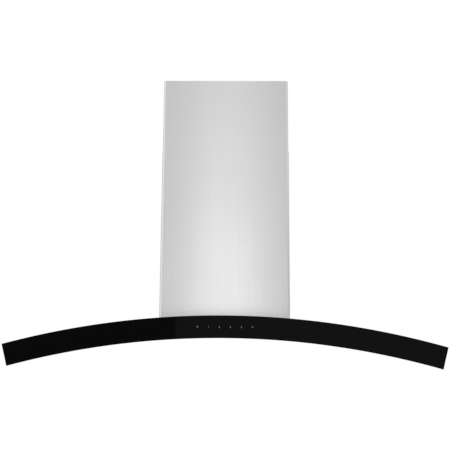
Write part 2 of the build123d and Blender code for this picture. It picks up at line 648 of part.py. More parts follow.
def led_board():
    """The round board with the lamp's diodes, under the top of the can."""
    top = lamp_flange_top() + LAMP_CAN_HEIGHT - LAMP_WALL
    radius = LAMP_CAN_RADIUS - LAMP_WALL - LED_BOARD_GAP
    return rod_along_z(radius, 0, LAMP_Y, top - LED_BOARD_THICKNESS, top)


def touch_pads():
    """The sensor pads on the back of the glass, one for each touch mark."""
    row = [(place - (TOUCH_COUNT - 1) / 2) * TOUCH_PITCH for place in range(TOUCH_COUNT)]
    depth = (GLASS_BACK, TOUCH_BOARD_FRONT)
    return group([block(about(x, TOUCH_PAD_WIDTH), depth, about(TOUCH_Z, TOUCH_PAD_WIDTH)) for x in row])


def touch_board():
    """The touch circuit board in the window of the canopy's front."""
    width = TOUCH_WINDOW_WIDTH - 2 * CARRIER_WALL
    height = TOUCH_WINDOW_HEIGHT - 2 * TOUCH_BOARD_GAP
    return block(centred(width), (TOUCH_BOARD_FRONT, TOUCH_BOARD_BACK), about(TOUCH_Z, height))


def touch_carrier():
    """The tray that holds the touch board, with a rim against the back of the canopy's front."""
    rim_width = centred(TOUCH_WINDOW_WIDTH + 2 * CARRIER_RIM)
    rim_height = about(TOUCH_Z, TOUCH_WINDOW_HEIGHT + 2 * CARRIER_RIM)
    rim = block(rim_width, (CARRIER_FRONT, CARRIER_FRONT + CARRIER_WALL), rim_height)
    tray_width = TOUCH_WINDOW_WIDTH - 2 * TOUCH_BOARD_GAP
    tray = block(centred(tray_width), (TOUCH_BOARD_BACK, CARRIER_BACK), about(TOUCH_Z, TOUCH_WINDOW_HEIGHT))
    hollow_depth = (TOUCH_BOARD_BACK + CARRIER_WALL, CARRIER_BACK)
    hollow_height = about(TOUCH_Z, TOUCH_WINDOW_HEIGHT - 2 * CARRIER_WALL)
    hollow = block(centred(tray_width - 2 * CARRIER_WALL), hollow_depth, hollow_height)
    board_height = about(TOUCH_Z, TOUCH_WINDOW_HEIGHT - TOUCH_BOARD_GAP)
    board_room = block(centred(tray_width), (GLASS_BACK, TOUCH_BOARD_BACK), board_height)
    return rim + tray - hollow - board_room


def control_cable():
    """The cable from the touch board back under the canopy's top and up into the control box."""
    start = (CABLE_OFFSET, TOUCH_BOARD_BACK + CARRIER_WALL, CABLE_Z)
    corner_start = (CABLE_OFFSET, CONTROL_Y - CABLE_BEND, CABLE_Z)
    corner_end = (CABLE_OFFSET, CONTROL_Y, CABLE_Z + CABLE_BEND)
    end = (CABLE_OFFSET, CONTROL_Y, CONTROL_BOTTOM + CABLE_ENTRY)
    run = Line(start, corner_start)
    bend = TangentArc(corner_start, corner_end, tangent=(0, 1, 0))
    rise = Line(corner_end, end)
    section = Plane(origin=start, z_dir=(0, 1, 0)) * Circle(CABLE_RADIUS)
    return sweep(section, path=Wire([run, bend, rise]))


def cable_grommet():
    """The rubber ring round the cable where it passes the canopy's top."""
    floor = ARCH_CENTRE_Z + math.sqrt(BODY_TOP ** 2 - (CABLE_OFFSET - GROMMET_RADIUS) ** 2)
    rim = rod_along_z(GROMMET_RADIUS, CABLE_OFFSET, CONTROL_Y, floor, floor + GROMMET_RIM)
    rim = chamfer(rim.edges().group_by(Axis.Z)[-1], GROMMET_RIM / 2)
    neck_radius = GROMMET_NECK - CABLE_CLEARANCE
    neck = rod_along_z(neck_radius, CABLE_OFFSET, CONTROL_Y, floor - 2 * GROMMET_RIM, floor)
    return rim + neck - cable_hole(CABLE_RADIUS + CABLE_CLEARANCE)


def scroll_face():
    """The volute in front view: three quarter arcs that widen by one step each, then the outlet."""
    left = WHEEL_X - SCROLL_STEP / 2
    low = WHEEL_Z - SCROLL_STEP / 2
    radii = [SCROLL_START + SCROLL_STEP * quarter for quarter in range(3)]
    first = CenterArc((left, low), radii[0], 90, 90)
    second = CenterArc((left + SCROLL_STEP, low), radii[1], 180, 90)
    third = CenterArc((left + SCROLL_STEP, low + SCROLL_STEP), radii[2], 270, 90)
    right_wall = Line(third @ 1, (OUTLET_RIGHT, OUTLET_Z))
    outlet = Line((OUTLET_RIGHT, OUTLET_Z), (OUTLET_LEFT, OUTLET_Z))
    tongue_wall = Line((OUTLET_LEFT, OUTLET_Z), first @ 0)
    face = make_face([first, second, third, right_wall, outlet, tongue_wall])
    tongue = face.vertices().sort_by_distance(first @ 0)[0]
    return fillet(tongue, TONGUE_ROUND)


def front_view_prism(face, front, back):
    """A face drawn in front view, given thickness between two depths."""
    return extrude(Plane.XZ.offset(-back) * face, back - front)


def above_outlet():
    """The room over the scroll's outlet."""
    width = centred(2 * BOX_INNER)
    return block(width, (BOX_FRONT, BOX_BACK), (OUTLET_Z, BOX_CEILING))


def scroll_housing():
    """The volute wall and its back plate in one, open in front and at the outlet."""
    cavity = scroll_face()
    wall = front_view_prism(offset(cavity, SCROLL_SHEET), SCROLL_FRONT, SCROLL_BACK + SCROLL_SHEET)
    wall = wall - front_view_prism(cavity, SCROLL_FRONT, SCROLL_BACK) - above_outlet()
    wall = wall - rod_along_y(INLET_RADIUS, WHEEL_X, WHEEL_Z, SCROLL_BACK, SCROLL_BACK + SCROLL_SHEET)
    return drilled(wall, motor_screw_places())


def scroll_front_plate():
    """The plate that closes the volute in front, round its inlet."""
    front = SCROLL_FRONT - SCROLL_SHEET
    plate = front_view_prism(offset(scroll_face(), SCROLL_SHEET), front, SCROLL_FRONT)
    return plate - above_outlet() - rod_along_y(INLET_RADIUS, WHEEL_X, WHEEL_Z, front, SCROLL_FRONT)


def inlet_ring():
    """The tapered mouth ring of the inlet, standing on Z = 0 round the Z axis."""
    ring = Cylinder(INLET_RADIUS + INLET_RIM, INLET_HEIGHT, align=FROM_BASE)
    ring = ring - Cylinder(INLET_RADIUS, INLET_HEIGHT, align=FROM_BASE)
    mouth = ring.edges().filter_by(GeomType.CIRCLE).group_by(Axis.Z)[-1].sort_by(SortBy.RADIUS)[0]
    return chamfer(mouth, INLET_TAPER)


def front_inlet_ring():
    """The mouth ring on the scroll's front plate."""
    return Pos(WHEEL_X, SCROLL_FRONT - SCROLL_SHEET, WHEEL_Z) * FACING_FRONT * inlet_ring()


def outlet_transition():
    """The lofted hopper from the scroll's oblong outlet to a square round the collar's bore."""
    middle = (OUTLET_LEFT + OUTLET_RIGHT) / 2
    layers = []
    for sheet in (SCROLL_SHEET, 0):
        width = OUTLET_RIGHT - OUTLET_LEFT + 2 * sheet
        oblong = Pos(middle, BLOWER_Y, OUTLET_Z) * Rectangle(width, SCROLL_WIDTH + 2 * sheet)
        side = 2 * (COLLAR_INNER + sheet)
        square = Pos(0, BLOWER_Y, BOX_CEILING) * Rectangle(side, side)
        layers.append(loft([oblong, square], ruled=True))
    return layers[0] - layers[1]


def blade_face():
    """One forward-curved blade in the wheel's own plane: an arc bellied back, given its sheet thickness."""
    middle_radius = (WHEEL_INNER + WHEEL_RADIUS) / 2
    sweep_half = math.radians(BLADE_SWEEP)
    belly = BLADE_BELLY / middle_radius
    stations = ((WHEEL_INNER, -sweep_half), (middle_radius, -belly), (WHEEL_RADIUS, sweep_half))
    turn = BLADE_SHEET / middle_radius
    near = [(radius * math.cos(angle), radius * math.sin(angle)) for radius, angle in stations]
    far = [(radius * math.cos(angle + turn), radius * math.sin(angle + turn)) for radius, angle in stations]
    near_arc = ThreePointArc(*near)
    far_arc = ThreePointArc(*reversed(far))
    return make_face([near_arc, Line(near[2], far[2]), far_arc, Line(far[0], near[0])])


def impeller():
    """The double-inlet wheel: forward-curved blades between two rings, on a disc with a hub."""
    blade_half = WHEEL_HALF - WHEEL_RING_SHEET
    blade = extrude(blade_face(), blade_half, both=True)
    step = 360 / BLADE_COUNT
    blades = [Rot(0, 0, step * place) * blade for place in range(BLADE_COUNT)]
    middle_radius = WHEEL_INNER + BLADE_DEPTH / 2
    ring = Cylinder(WHEEL_RADIUS, WHEEL_RING_SHEET) - Cylinder(middle_radius, WHEEL_RING_SHEET)
    ring_level = WHEEL_HALF - WHEEL_RING_SHEET / 2
    wheel = Cylinder(middle_radius, WHEEL_DISC) + Cylinder(HUB_RADIUS, HUB_LENGTH)
    wheel = wheel + [Pos(0, 0, ring_level) * ring, Pos(0, 0, -ring_level) * ring] + blades
    wheel = wheel - Cylinder(SHAFT_RADIUS, HUB_LENGTH)
    return Pos(WHEEL_X, BLOWER_Y, WHEEL_Z) * FACING_FRONT * wheel


def motor_shaft():
    """The shaft from the wheel's hub into the motor."""
    return rod_along_y(SHAFT_RADIUS, WHEEL_X, WHEEL_Z, BLOWER_Y - HUB_LENGTH / 2, SHAFT_BACK)


def motor_body():
    """The motor: a stack between two stepped end bells, bored for the shaft."""
    stack = rod_along_y(MOTOR_RADIUS, WHEEL_X, WHEEL_Z, MOTOR_FRONT + MOTOR_BELL, MOTOR_BACK - MOTOR_BELL)
    bell_radius = MOTOR_RADIUS - MOTOR_BELL_STEP
    bells = rod_along_y(bell_radius, WHEEL_X, WHEEL_Z, MOTOR_FRONT, MOTOR_BACK)
    bells = chamfer(bells.edges().filter_by(GeomType.CIRCLE), MOTOR_CHAMFER)
    bore_radius = SHAFT_RADIUS + SHAFT_CLEARANCE
    bore = rod_along_y(bore_radius, WHEEL_X, WHEEL_Z, MOTOR_FRONT, SHAFT_BACK + SHAFT_END_GAP)
    return stack + bells - bore


def motor_bracket():
    """The three-armed bracket that carries the motor across the rear inlet."""
    plate = Cylinder(MOTOR_RADIUS - MOTOR_BELL_STEP, MOTOR_ARM_SHEET, align=FROM_BASE)
    arm = Pos(BUSH_CIRCLE / 2, 0, MOTOR_ARM_SHEET / 2) * Box(BUSH_CIRCLE, MOTOR_ARM_WIDTH, MOTOR_ARM_SHEET)
    foot = Pos(BUSH_CIRCLE, 0, 0) * Cylinder(MOTOR_ARM_WIDTH / 2, MOTOR_ARM_SHEET, align=FROM_BASE)
    turn = 360 / MOTOR_ARM_COUNT
    arms = [Rot(0, 0, turn * place) * (arm + foot) for place in range(MOTOR_ARM_COUNT)]
    bracket = motor_axis() * Pos(0, 0, MOTOR_BACK - BLOWER_Y) * (plate + arms)
    return drilled(bracket, motor_screw_places())


def motor_bushes():
    """The rubber bushes between the bracket's feet and the scroll."""
    bush = Cylinder(BUSH_RADIUS, BUSH_HEIGHT, align=FROM_BASE)
    bush = bush - Cylinder(SCREW_RADIUS + SCREW_CLEARANCE, BUSH_HEIGHT, align=FROM_BASE)
    ring = PolarLocations(BUSH_CIRCLE, MOTOR_ARM_COUNT)
    level = SCROLL_BACK + SCROLL_SHEET - BLOWER_Y
    return group([motor_axis() * Pos(0, 0, level) * place * bush for place in ring])


def blower_box():
    """The folded box round the blower, open below, with a framed front and an arched foot flange."""
    levels = (CREST_Z - GLASS_HEIGHT, BOX_TOP)
    box = block(centred(2 * BOX_HALF), (BOX_FRONT, BOX_BACK), levels)
    inside_depth = (BOX_FRONT + BOX_SHEET, BOX_BACK - BOX_SHEET)
    box = box - block(centred(2 * BOX_INNER), inside_depth, (levels[0], BOX_CEILING))
    front_levels = (CREST_Z + BOX_FRAME, BOX_TOP - BOX_FRAME)
    front_wall = (BOX_FRONT, BOX_FRONT + BOX_SHEET)
    box = box - block(centred(2 * (BOX_HALF - BOX_FRAME)), front_wall, front_levels)
    box = box - arch_slice(GLASS_BOTTOM, BODY_TOP, BODY_ANGLE, GLASS_FRONT, 0)
    box = box - rod_along_z(COLLAR_INNER, 0, BLOWER_Y, BOX_CEILING, BOX_TOP)
    foot_angle = (BOX_HALF + BOX_FLANGE) / BODY_TOP
    foot_front = BOX_FRONT - BOX_FLANGE
    foot = arch_slice(BODY_TOP, BODY_TOP + BOX_SHEET, foot_angle, foot_front, BOX_BACK)
    box = box + (foot - block(centred(2 * BOX_INNER), inside_depth, about(CREST_Z, GLASS_HEIGHT)))
    for side in (-1, 1):
        slot_width = about(side * HOOK_SPACING / 2, HOOK_WIDTH + 2 * HOOK_SLOT_GAP)
        box = box - block(slot_width, (BOX_BACK - BOX_SHEET, BOX_BACK), (-HOOK_SLOT_DROP, HOOK_TOP))
    box = box - cable_hole(GROMMET_RADIUS + HOOK_SLOT_GAP)
    return drilled(box, box_screw_places() + cover_screw_places() + collar_screw_places())


def blower_cover():
    """The screwed cover over the box's framed front."""
    levels = (CREST_Z + SCREW_EDGE, BOX_TOP)
    cover = block(centred(2 * BOX_HALF), (COVER_FRONT, BOX_FRONT), levels)
    corners = cover.edges().filter_by(Axis.Y)
    return drilled(fillet(corners, BRACKET_ROUND), cover_screw_places())


def duct_collar():
    """The collar on the box's top: flange, neck, flap stop and the two lugs that carry the flaps."""
    collar = rod_along_z(COLLAR_FLANGE_RADIUS, 0, BLOWER_Y, BOX_TOP, BOX_TOP + COLLAR_FLANGE)
    collar = collar + rod_along_z(COLLAR_RADIUS, 0, BLOWER_Y, BOX_TOP, COLLAR_TOP)
    collar = collar - rod_along_z(COLLAR_INNER, 0, BLOWER_Y, BOX_TOP, COLLAR_TOP)
    stop_top = FLAP_Z - FLAP_SHEET / 2 - FLAP_STOP_GAP
    stop = rod_along_z(COLLAR_INNER + COLLAR_WALL / 2, 0, BLOWER_Y, stop_top - COLLAR_WALL, stop_top)
    stop = stop - rod_along_z(COLLAR_INNER - FLAP_STOP, 0, BLOWER_Y, stop_top - COLLAR_WALL, stop_top)
    lug_levels = about(FLAP_Z, 2 * (FLAP_ROD_RADIUS + LUG_WALL))
    lug_depth = about(BLOWER_Y, FLAP_SPACING + 2 * (FLAP_ROD_RADIUS + LUG_WALL))
    lugs = rod_along_z(COLLAR_INNER + COLLAR_WALL / 2, 0, BLOWER_Y, *lug_levels)
    lugs = lugs & block(centred(2 * COLLAR_RADIUS), lug_depth, lug_levels)
    lugs = lugs - block(centred(2 * LUG_INNER), lug_depth, lug_levels)
    collar = collar + stop + lugs
    for side in (-1, 1):
        y = BLOWER_Y + side * FLAP_SPACING / 2
        socket_radius = FLAP_ROD_RADIUS + FLAP_ROD_CLEARANCE
        collar = collar - rod_along_x(socket_radius, y, FLAP_Z, *centred(2 * COLLAR_INNER - COLLAR_WALL))
    return drilled(collar, collar_screw_places())


def damper_flap(side):
    """One half-round flap with its pivot rod; the side is -1 in front and 1 behind."""
    pivot_y = BLOWER_Y + side * FLAP_SPACING / 2
    levels = about(FLAP_Z, FLAP_SHEET)
    plate = rod_along_z(COLLAR_INNER - FLAP_GAP, 0, BLOWER_Y, *levels)
    edge_y = BLOWER_Y + side * COLLAR_RADIUS
    plate = plate & block(centred(2 * COLLAR_RADIUS), sorted((pivot_y, edge_y)), levels)
    lug_half = FLAP_ROD_RADIUS + LUG_WALL
    lug_corner = math.hypot(lug_half, lug_half)
    lug_edge = FLAP_SPACING / 2 + lug_corner + LUG_GAP
    for end in (-1, 1):
        lug_room = sorted((end * (LUG_INNER - LUG_GAP), end * COLLAR_RADIUS))
        plate = plate - block(lug_room, about(BLOWER_Y, 2 * lug_edge), levels)
    rod_half = COLLAR_INNER - COLLAR_WALL - FLAP_GAP
    return plate + rod_along_x(FLAP_ROD_RADIUS, pivot_y, FLAP_Z, *centred(2 * rod_half))


def chimney_section(step, return_width):
    """The folded section of one chimney cover in plan, moved in by a step from the outer cover."""
    half = CHIMNEY_HALF - step
    front = CHIMNEY_FRONT + step
    back = -WALL_GAP - step
    layers = []
    for inset, rear in ((0, back), (CHIMNEY_SHEET, back - CHIMNEY_SHEET)):
        layer = Pos(0, (front + inset + rear) / 2) * Rectangle(2 * (half - inset), rear - front - inset)
        layers.append(fillet(layer.vertices().sort_by(Axis.Y)[:2], CHIMNEY_BEND - step - inset))
    opening_width = 2 * (half - CHIMNEY_SHEET - return_width)
    opening = Pos(0, back - CHIMNEY_SHEET / 2) * Rectangle(opening_width, CHIMNEY_SHEET)
    return layers[0] - layers[1] - opening


def lower_chimney():
    """The lower chimney cover, scribed to the arched canopy, with a foot flange inside."""
    bottom = CREST_Z - GLASS_HEIGHT
    cover = extrude(Pos(0, 0, bottom) * chimney_section(0, CHIMNEY_RETURN), LOWER_CHIMNEY_TOP - bottom)
    seat = BODY_TOP + CHIMNEY_SEAT_GAP
    cover = cover - arch_slice(GLASS_BOTTOM - GLASS_HEIGHT, seat, BODY_ANGLE, GLASS_FRONT, 0)
    foot_depth = (CHIMNEY_FRONT + CHIMNEY_SHEET / 2, BOX_BACK)
    foot = arch_slice(seat, seat + CHIMNEY_SHEET, BODY_ANGLE, *foot_depth)
    foot = foot & block(centred(2 * CHIMNEY_INNER), foot_depth, (bottom, LOWER_CHIMNEY_TOP))
    opening_depth = (CHIMNEY_FRONT + CHIMNEY_SHEET + CHIMNEY_FLANGE, BOX_BACK)
    opening_width = centred(2 * (CHIMNEY_INNER - CHIMNEY_FLANGE))
    opening = block(opening_width, opening_depth, (bottom, LOWER_CHIMNEY_TOP))
    corner_gap = CHIMNEY_BEND + CHIMNEY_SHEET
    for side in (-1, 1):
        edges = sorted((side * CHIMNEY_HALF, side * (CHIMNEY_HALF - corner_gap)))
        corner_depth = (CHIMNEY_FRONT, CHIMNEY_FRONT + corner_gap)
        foot = foot - block(edges, corner_depth, (bottom, LOWER_CHIMNEY_TOP))
    return drilled(cover + (foot - opening), chimney_screw_places())


def upper_chimney():
    """The upper chimney cover, which slides inside the lower one, with returns notched at the bracket."""
    section = Pos(0, 0, UPPER_CHIMNEY_BOTTOM) * chimney_section(UPPER_STEP, CHIMNEY_RETURN)
    cover = extrude(section, UPPER_CHIMNEY_LENGTH)
    notch_levels = (CHIMNEY_BRACKET_BOTTOM - RETURN_NOTCH_GAP, UPPER_CHIMNEY_TOP)
    notch_depth = (-WALL_GAP - UPPER_STEP - CHIMNEY_SHEET, 0)
    cover = cover - block(centred(2 * UPPER_INNER), notch_depth, notch_levels)
    return drilled(cover, bracket_screw_places())


def chimney_bracket():
    """The bar on the wall behind the upper chimney's top, with an ear forward at each end."""
    levels = (CHIMNEY_BRACKET_BOTTOM, CHIMNEY_BRACKET_TOP)
    bar = block(centred(2 * UPPER_INNER), (-CHIMNEY_BRACKET_SHEET, 0), levels)
    for side in (-1, 1):
        ear = sorted((side * UPPER_INNER, side * (UPPER_INNER - CHIMNEY_BRACKET_SHEET)))
        bar = bar + block(ear, (-CHIMNEY_BRACKET_EAR, 0), levels)
        x = side * CHIMNEY_BRACKET_SPACING / 2
        bar = bar - rod_along_y(CHIMNEY_BRACKET_HOLE, x, CHIMNEY_BRACKET_Z, -CHIMNEY_BRACKET_SHEET, 0)
    return drilled(bar, bracket_screw_places())


def wall_bracket():
    """The plate on the wall with four screw holes and the two hooks that carry the blower box."""
    plate = block(centred(BRACKET_WIDTH), (-BRACKET_SHEET, 0), centred(BRACKET_HEIGHT))
    plate = fillet(plate.edges().filter_by(Axis.Y), BRACKET_ROUND)
    tongue_back = BOX_BACK - BOX_SHEET - HOOK_GAP
    for side in (-1, 1):
        hook_width = about(side * HOOK_SPACING / 2, HOOK_WIDTH)
        neck_levels = (HOOK_TOP - BRACKET_SHEET, HOOK_TOP)
        neck = block(hook_width, (tongue_back - BRACKET_SHEET, -BRACKET_SHEET), neck_levels)
        tongue_levels = (neck_levels[0], HOOK_TOP + HOOK_HEIGHT)
        plate = plate + neck + block(hook_width, (tongue_back - BRACKET_SHEET, tongue_back), tongue_levels)
        for level in centred(WALL_HOLE_SPACING_Z):
            x = side * WALL_HOLE_SPACING_X / 2
            plate = plate - rod_along_y(WALL_HOLE_RADIUS, x, level, -BRACKET_SHEET, 0)
    return plate


def control_box():
    """The plastic box on the blower cover, open in front, with a screw post in two corners."""
    levels = (CONTROL_BOTTOM, CONTROL_TOP)
    box = block(centred(CONTROL_WIDTH), (CONTROL_FRONT, CONTROL_BACK), levels)
    box = fillet(box.edges().filter_by(Axis.Y), CONTROL_ROUND)
    inside_levels = (CONTROL_BOTTOM + CONTROL_WALL, CONTROL_TOP - CONTROL_WALL)
    inside_depth = (CONTROL_FRONT, CONTROL_BACK - CONTROL_WALL)
    box = box - block(centred(CONTROL_WIDTH - 2 * CONTROL_WALL), inside_depth, inside_levels)
    for place in lid_screw_places():
        post = place * Pos(0, 0, -CONTROL_DEPTH - CONTROL_WALL)
        box = box + post * Cylinder(SCREW_RADIUS + CONTROL_WALL, CONTROL_DEPTH, align=FROM_BASE)
    box = box - rod_along_z(GLAND_NECK, -CABLE_OFFSET, CONTROL_Y, *about(CONTROL_TOP, 2 * CONTROL_WALL))
    entry_levels = about(CONTROL_BOTTOM, 2 * CABLE_ENTRY)
    entry = rod_along_z(CABLE_RADIUS + CABLE_CLEARANCE, CABLE_OFFSET, CONTROL_Y, *entry_levels)
    return drilled(box - entry, lid_screw_places())


def control_box_lid():
    """The lid of the control box."""
    lid = block(centred(CONTROL_WIDTH), (LID_FRONT, CONTROL_FRONT), (CONTROL_BOTTOM, CONTROL_TOP))
    return drilled(fillet(lid.edges().filter_by(Axis.Y), CONTROL_ROUND), lid_screw_places())


def cable_gland():
    """The gland for the supply cable, on top of the control box."""
    x = -CABLE_OFFSET
    neck = rod_along_z(GLAND_NECK - CABLE_CLEARANCE, x, CONTROL_Y, CONTROL_TOP - CONTROL_WALL, CONTROL_TOP)
    nut = Pos(x, CONTROL_Y, CONTROL_TOP) * extrude(RegularPolygon(GLAND_RADIUS, 6), GLAND_NUT)
    nut_top = CONTROL_TOP + GLAND_NUT
    dome = rod_along_z(GLAND_DOME_RADIUS, x, CONTROL_Y, nut_top, nut_top + GLAND_DOME)
    dome = chamfer(dome.edges().group_by(Axis.Z)[-1], GLAND_CHAMFER)
    bore = rod_along_z(GLAND_BORE, x, CONTROL_Y, CONTROL_TOP - CONTROL_WALL, nut_top + GLAND_DOME)
    return neck + nut + dome - bore


def mirrored_pieces():
    """The pieces that the hood has on its left and on its right, set square to the arch."""
    pieces = {}
    for name, side in (("left", -1), ("right", 1)):
        bay = on_arch(side * FILTER_ANGLE)
        lamp = on_arch(side * LAMP_ANGLE)
        pieces[f"{name}_filter_bay"] = bay * filter_bay()
        pieces[f"{name}_filter_frame"] = bay * filter_frame()
        pieces[f"{name}_lower_baffles"] = bay * lower_baffles()
        pieces[f"{name}_upper_baffles"] = bay * upper_baffles()
        pieces[f"{name}_latch"] = bay * latch()
        pieces[f"{name}_latch_spring"] = bay * latch_spring()
        pieces[f"{name}_lamp_housing"] = lamp * lamp_housing()
        pieces[f"{name}_lamp_lens"] = lamp * lamp_lens()
        pieces[f"{name}_led_board"] = lamp * led_board()
    return pieces


def screw_sets():
    """Each set of equal screws, as one node."""
    return {
        "pan_screws": screws(pan_screw_places()),
        "box_screws": screws(box_screw_places()),
        "chimney_screws": screws(chimney_screw_places()),
        "cover_screws": screws(cover_screw_places()),
        "collar_screws": screws(collar_screw_places()),
        "bracket_screws": screws(bracket_screw_places()),
        "lid_screws": screws(lid_screw_places()),
        "motor_screws": screws(motor_screw_places()),
    }


def hood_pieces():
    """Every piece of the hood under the name of its node."""
    makers = (
        front_glass, glass_tape, canopy_shell, canopy_underpan,
        touch_pads, touch_board, touch_carrier, control_cable, cable_grommet,
        scroll_housing, scroll_front_plate, front_inlet_ring, outlet_transition,
        impeller, motor_shaft, motor_body, motor_bracket, motor_bushes,
        blower_box, blower_cover, duct_collar,
        lower_chimney, upper_chimney, chimney_bracket, wall_bracket,
        control_box, control_box_lid, cable_gland,
    )
    pieces = {maker.__name__: maker() for maker in makers}
    pieces["front_damper_flap"] = damper_flap(-1)
    pieces["rear_damper_flap"] = damper_flap(1)
    return pieces | mirrored_pieces() | screw_sets()


os.makedirs("parts", exist_ok=True)
for piece_name, piece_shape in hood_pieces().items():
    export_step(piece_shape, f"parts/{piece_name}.step")
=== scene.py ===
import json
import math

import bmesh
import bpy
from bpy.props import FloatProperty, FloatVectorProperty, IntProperty, PointerProperty
from bpy.types import Operator, Panel, PropertyGroup
from mathutils import Matrix, Vector


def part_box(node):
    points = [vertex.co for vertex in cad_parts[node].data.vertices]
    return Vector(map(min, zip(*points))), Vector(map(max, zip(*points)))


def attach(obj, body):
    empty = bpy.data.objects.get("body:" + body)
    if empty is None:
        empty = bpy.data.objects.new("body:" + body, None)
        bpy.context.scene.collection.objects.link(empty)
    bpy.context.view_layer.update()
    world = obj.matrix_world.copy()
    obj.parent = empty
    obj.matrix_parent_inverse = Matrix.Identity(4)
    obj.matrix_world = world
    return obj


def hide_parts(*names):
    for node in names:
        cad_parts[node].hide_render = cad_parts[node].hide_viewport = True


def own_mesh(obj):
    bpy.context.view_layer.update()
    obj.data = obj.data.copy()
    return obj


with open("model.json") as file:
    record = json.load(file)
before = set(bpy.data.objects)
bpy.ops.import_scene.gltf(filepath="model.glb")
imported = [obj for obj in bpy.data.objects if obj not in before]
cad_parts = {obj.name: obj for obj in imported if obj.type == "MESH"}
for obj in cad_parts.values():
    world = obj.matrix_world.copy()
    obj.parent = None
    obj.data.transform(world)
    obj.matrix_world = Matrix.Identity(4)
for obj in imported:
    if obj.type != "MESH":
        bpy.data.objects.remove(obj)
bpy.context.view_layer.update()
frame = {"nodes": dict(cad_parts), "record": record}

bl_info = {
    "name": "Wall Mount Range Hood",
    "version": (1, 0, 0),
    "blender": (4, 5, 0),
    "location": "3D View > Sidebar > Range Hood",
    "description": "Dresses the hood's solids with finished pieces and materials, and sets up its studio",
    "category": "Object",
}

RECORD = frame["record"]
NODE_BODY = {node: body for body, members in RECORD["behaviour"]["bodies"].items() for node in members}
NODE_SLOT = {row["node"]: row["material_slot"] for row in RECORD["subparts"]}
SIDES = ("left", "right")
MILLIMETRE = 0.001
SAME_POINT = 1e-6
FLAT_ANGLE = math.radians(0.1)
SHARP_ANGLE = math.radians(32)
QUARTER_TURN = math.pi / 2
FULL_TURN = 2 * math.pi
GLASS_STEPS = 120
SCREW_STEPS = 24
LAMP_STEPS = 64
WHEEL_STEPS = 72


def number(label, description, value, **options):
    """A plain number setting."""
    return FloatProperty(name=label, description=description, default=value, **options)


def length(label, description, millimetres):
    """A length setting, given in millimetres."""
    return number(label, description, millimetres * MILLIMETRE, min=0.0, unit="LENGTH", precision=5)


def power(label, description, watts):
    """The power setting of a lamp."""
    return number(label, description, watts, min=0.0, unit="POWER")


def amount(label, description, value, fewest, most):
    """A setting that counts like pieces."""
    return IntProperty(name=label, description=description, default=value, min=fewest, max=most)


def colour(label, description, *shade):
    """A colour setting."""
    return FloatVectorProperty(
        name=label, description=description, default=shade, size=3, min=0.0, max=1.0, subtype="COLOR",
    )


class HoodSizes(PropertyGroup):
    """Sizes of the finished pieces."""

    arch_radius: length("Arch radius", "Radius of the canopy's and the glass's upper edge", 1713.0)
    glass_height: length("Glass height", "Height of the front glass across its band", 45.4)
    glass_arris: length("Glass arris", "Width of the polished edge round the glass", 0.8)
    mark_pitch: length("Mark pitch", "Distance between the touch marks", 22.3)
    mark_shift: length("Mark shift", "Distance of the row of touch marks to the right of the middle", 1.7)
    mark_drop: length("Mark drop", "Distance of the touch marks below the middle of the glass", 0.3)
    mark_height: length("Mark height", "Height of the touch marks", 4.0)
    mark_stroke: length("Mark stroke", "Width of the lines in the touch marks", 0.65)
    slat_width: length("Slat width", "Width of one filter baffle", 22.0)
    slat_height: length("Slat height", "Height of one filter baffle", 7.0)
    slat_sheet: length("Slat sheet", "Sheet thickness of the filter baffles", 0.8)
    slat_pitch: length("Slat pitch", "Distance between the filter baffles", 32.0)
    slat_bend: length("Slat bend", "Bend radius of the filter baffles", 2.0)
    spring_flat: length("Spring flat", "Depth of a leaf spring when its latch is pulled right back", 1.5)
    blade_depth: length("Blade depth", "Radial depth of the wheel's blades", 13.0)
    blade_sheet: length("Blade sheet", "Sheet thickness of the wheel's blades", 0.9)
    screw_head: length("Screw head", "Radius of the screw heads", 3.6)
    screw_head_height: length("Screw head height", "Height of the screw heads", 1.4)
    screw_shank: length("Screw shank", "Radius of the screw shanks", 1.9)
    screw_length: length("Screw length", "Length of the screw shanks", 7.0)
    edge: length("Edge", "Rounding of the moulded and cast edges", 0.4)
    blade_count: amount("Blades", "Number of blades on the wheel", 36, 8, 80)
    diode_count: amount("Diodes", "Number of diodes on each lamp board", 8, 1, 24)


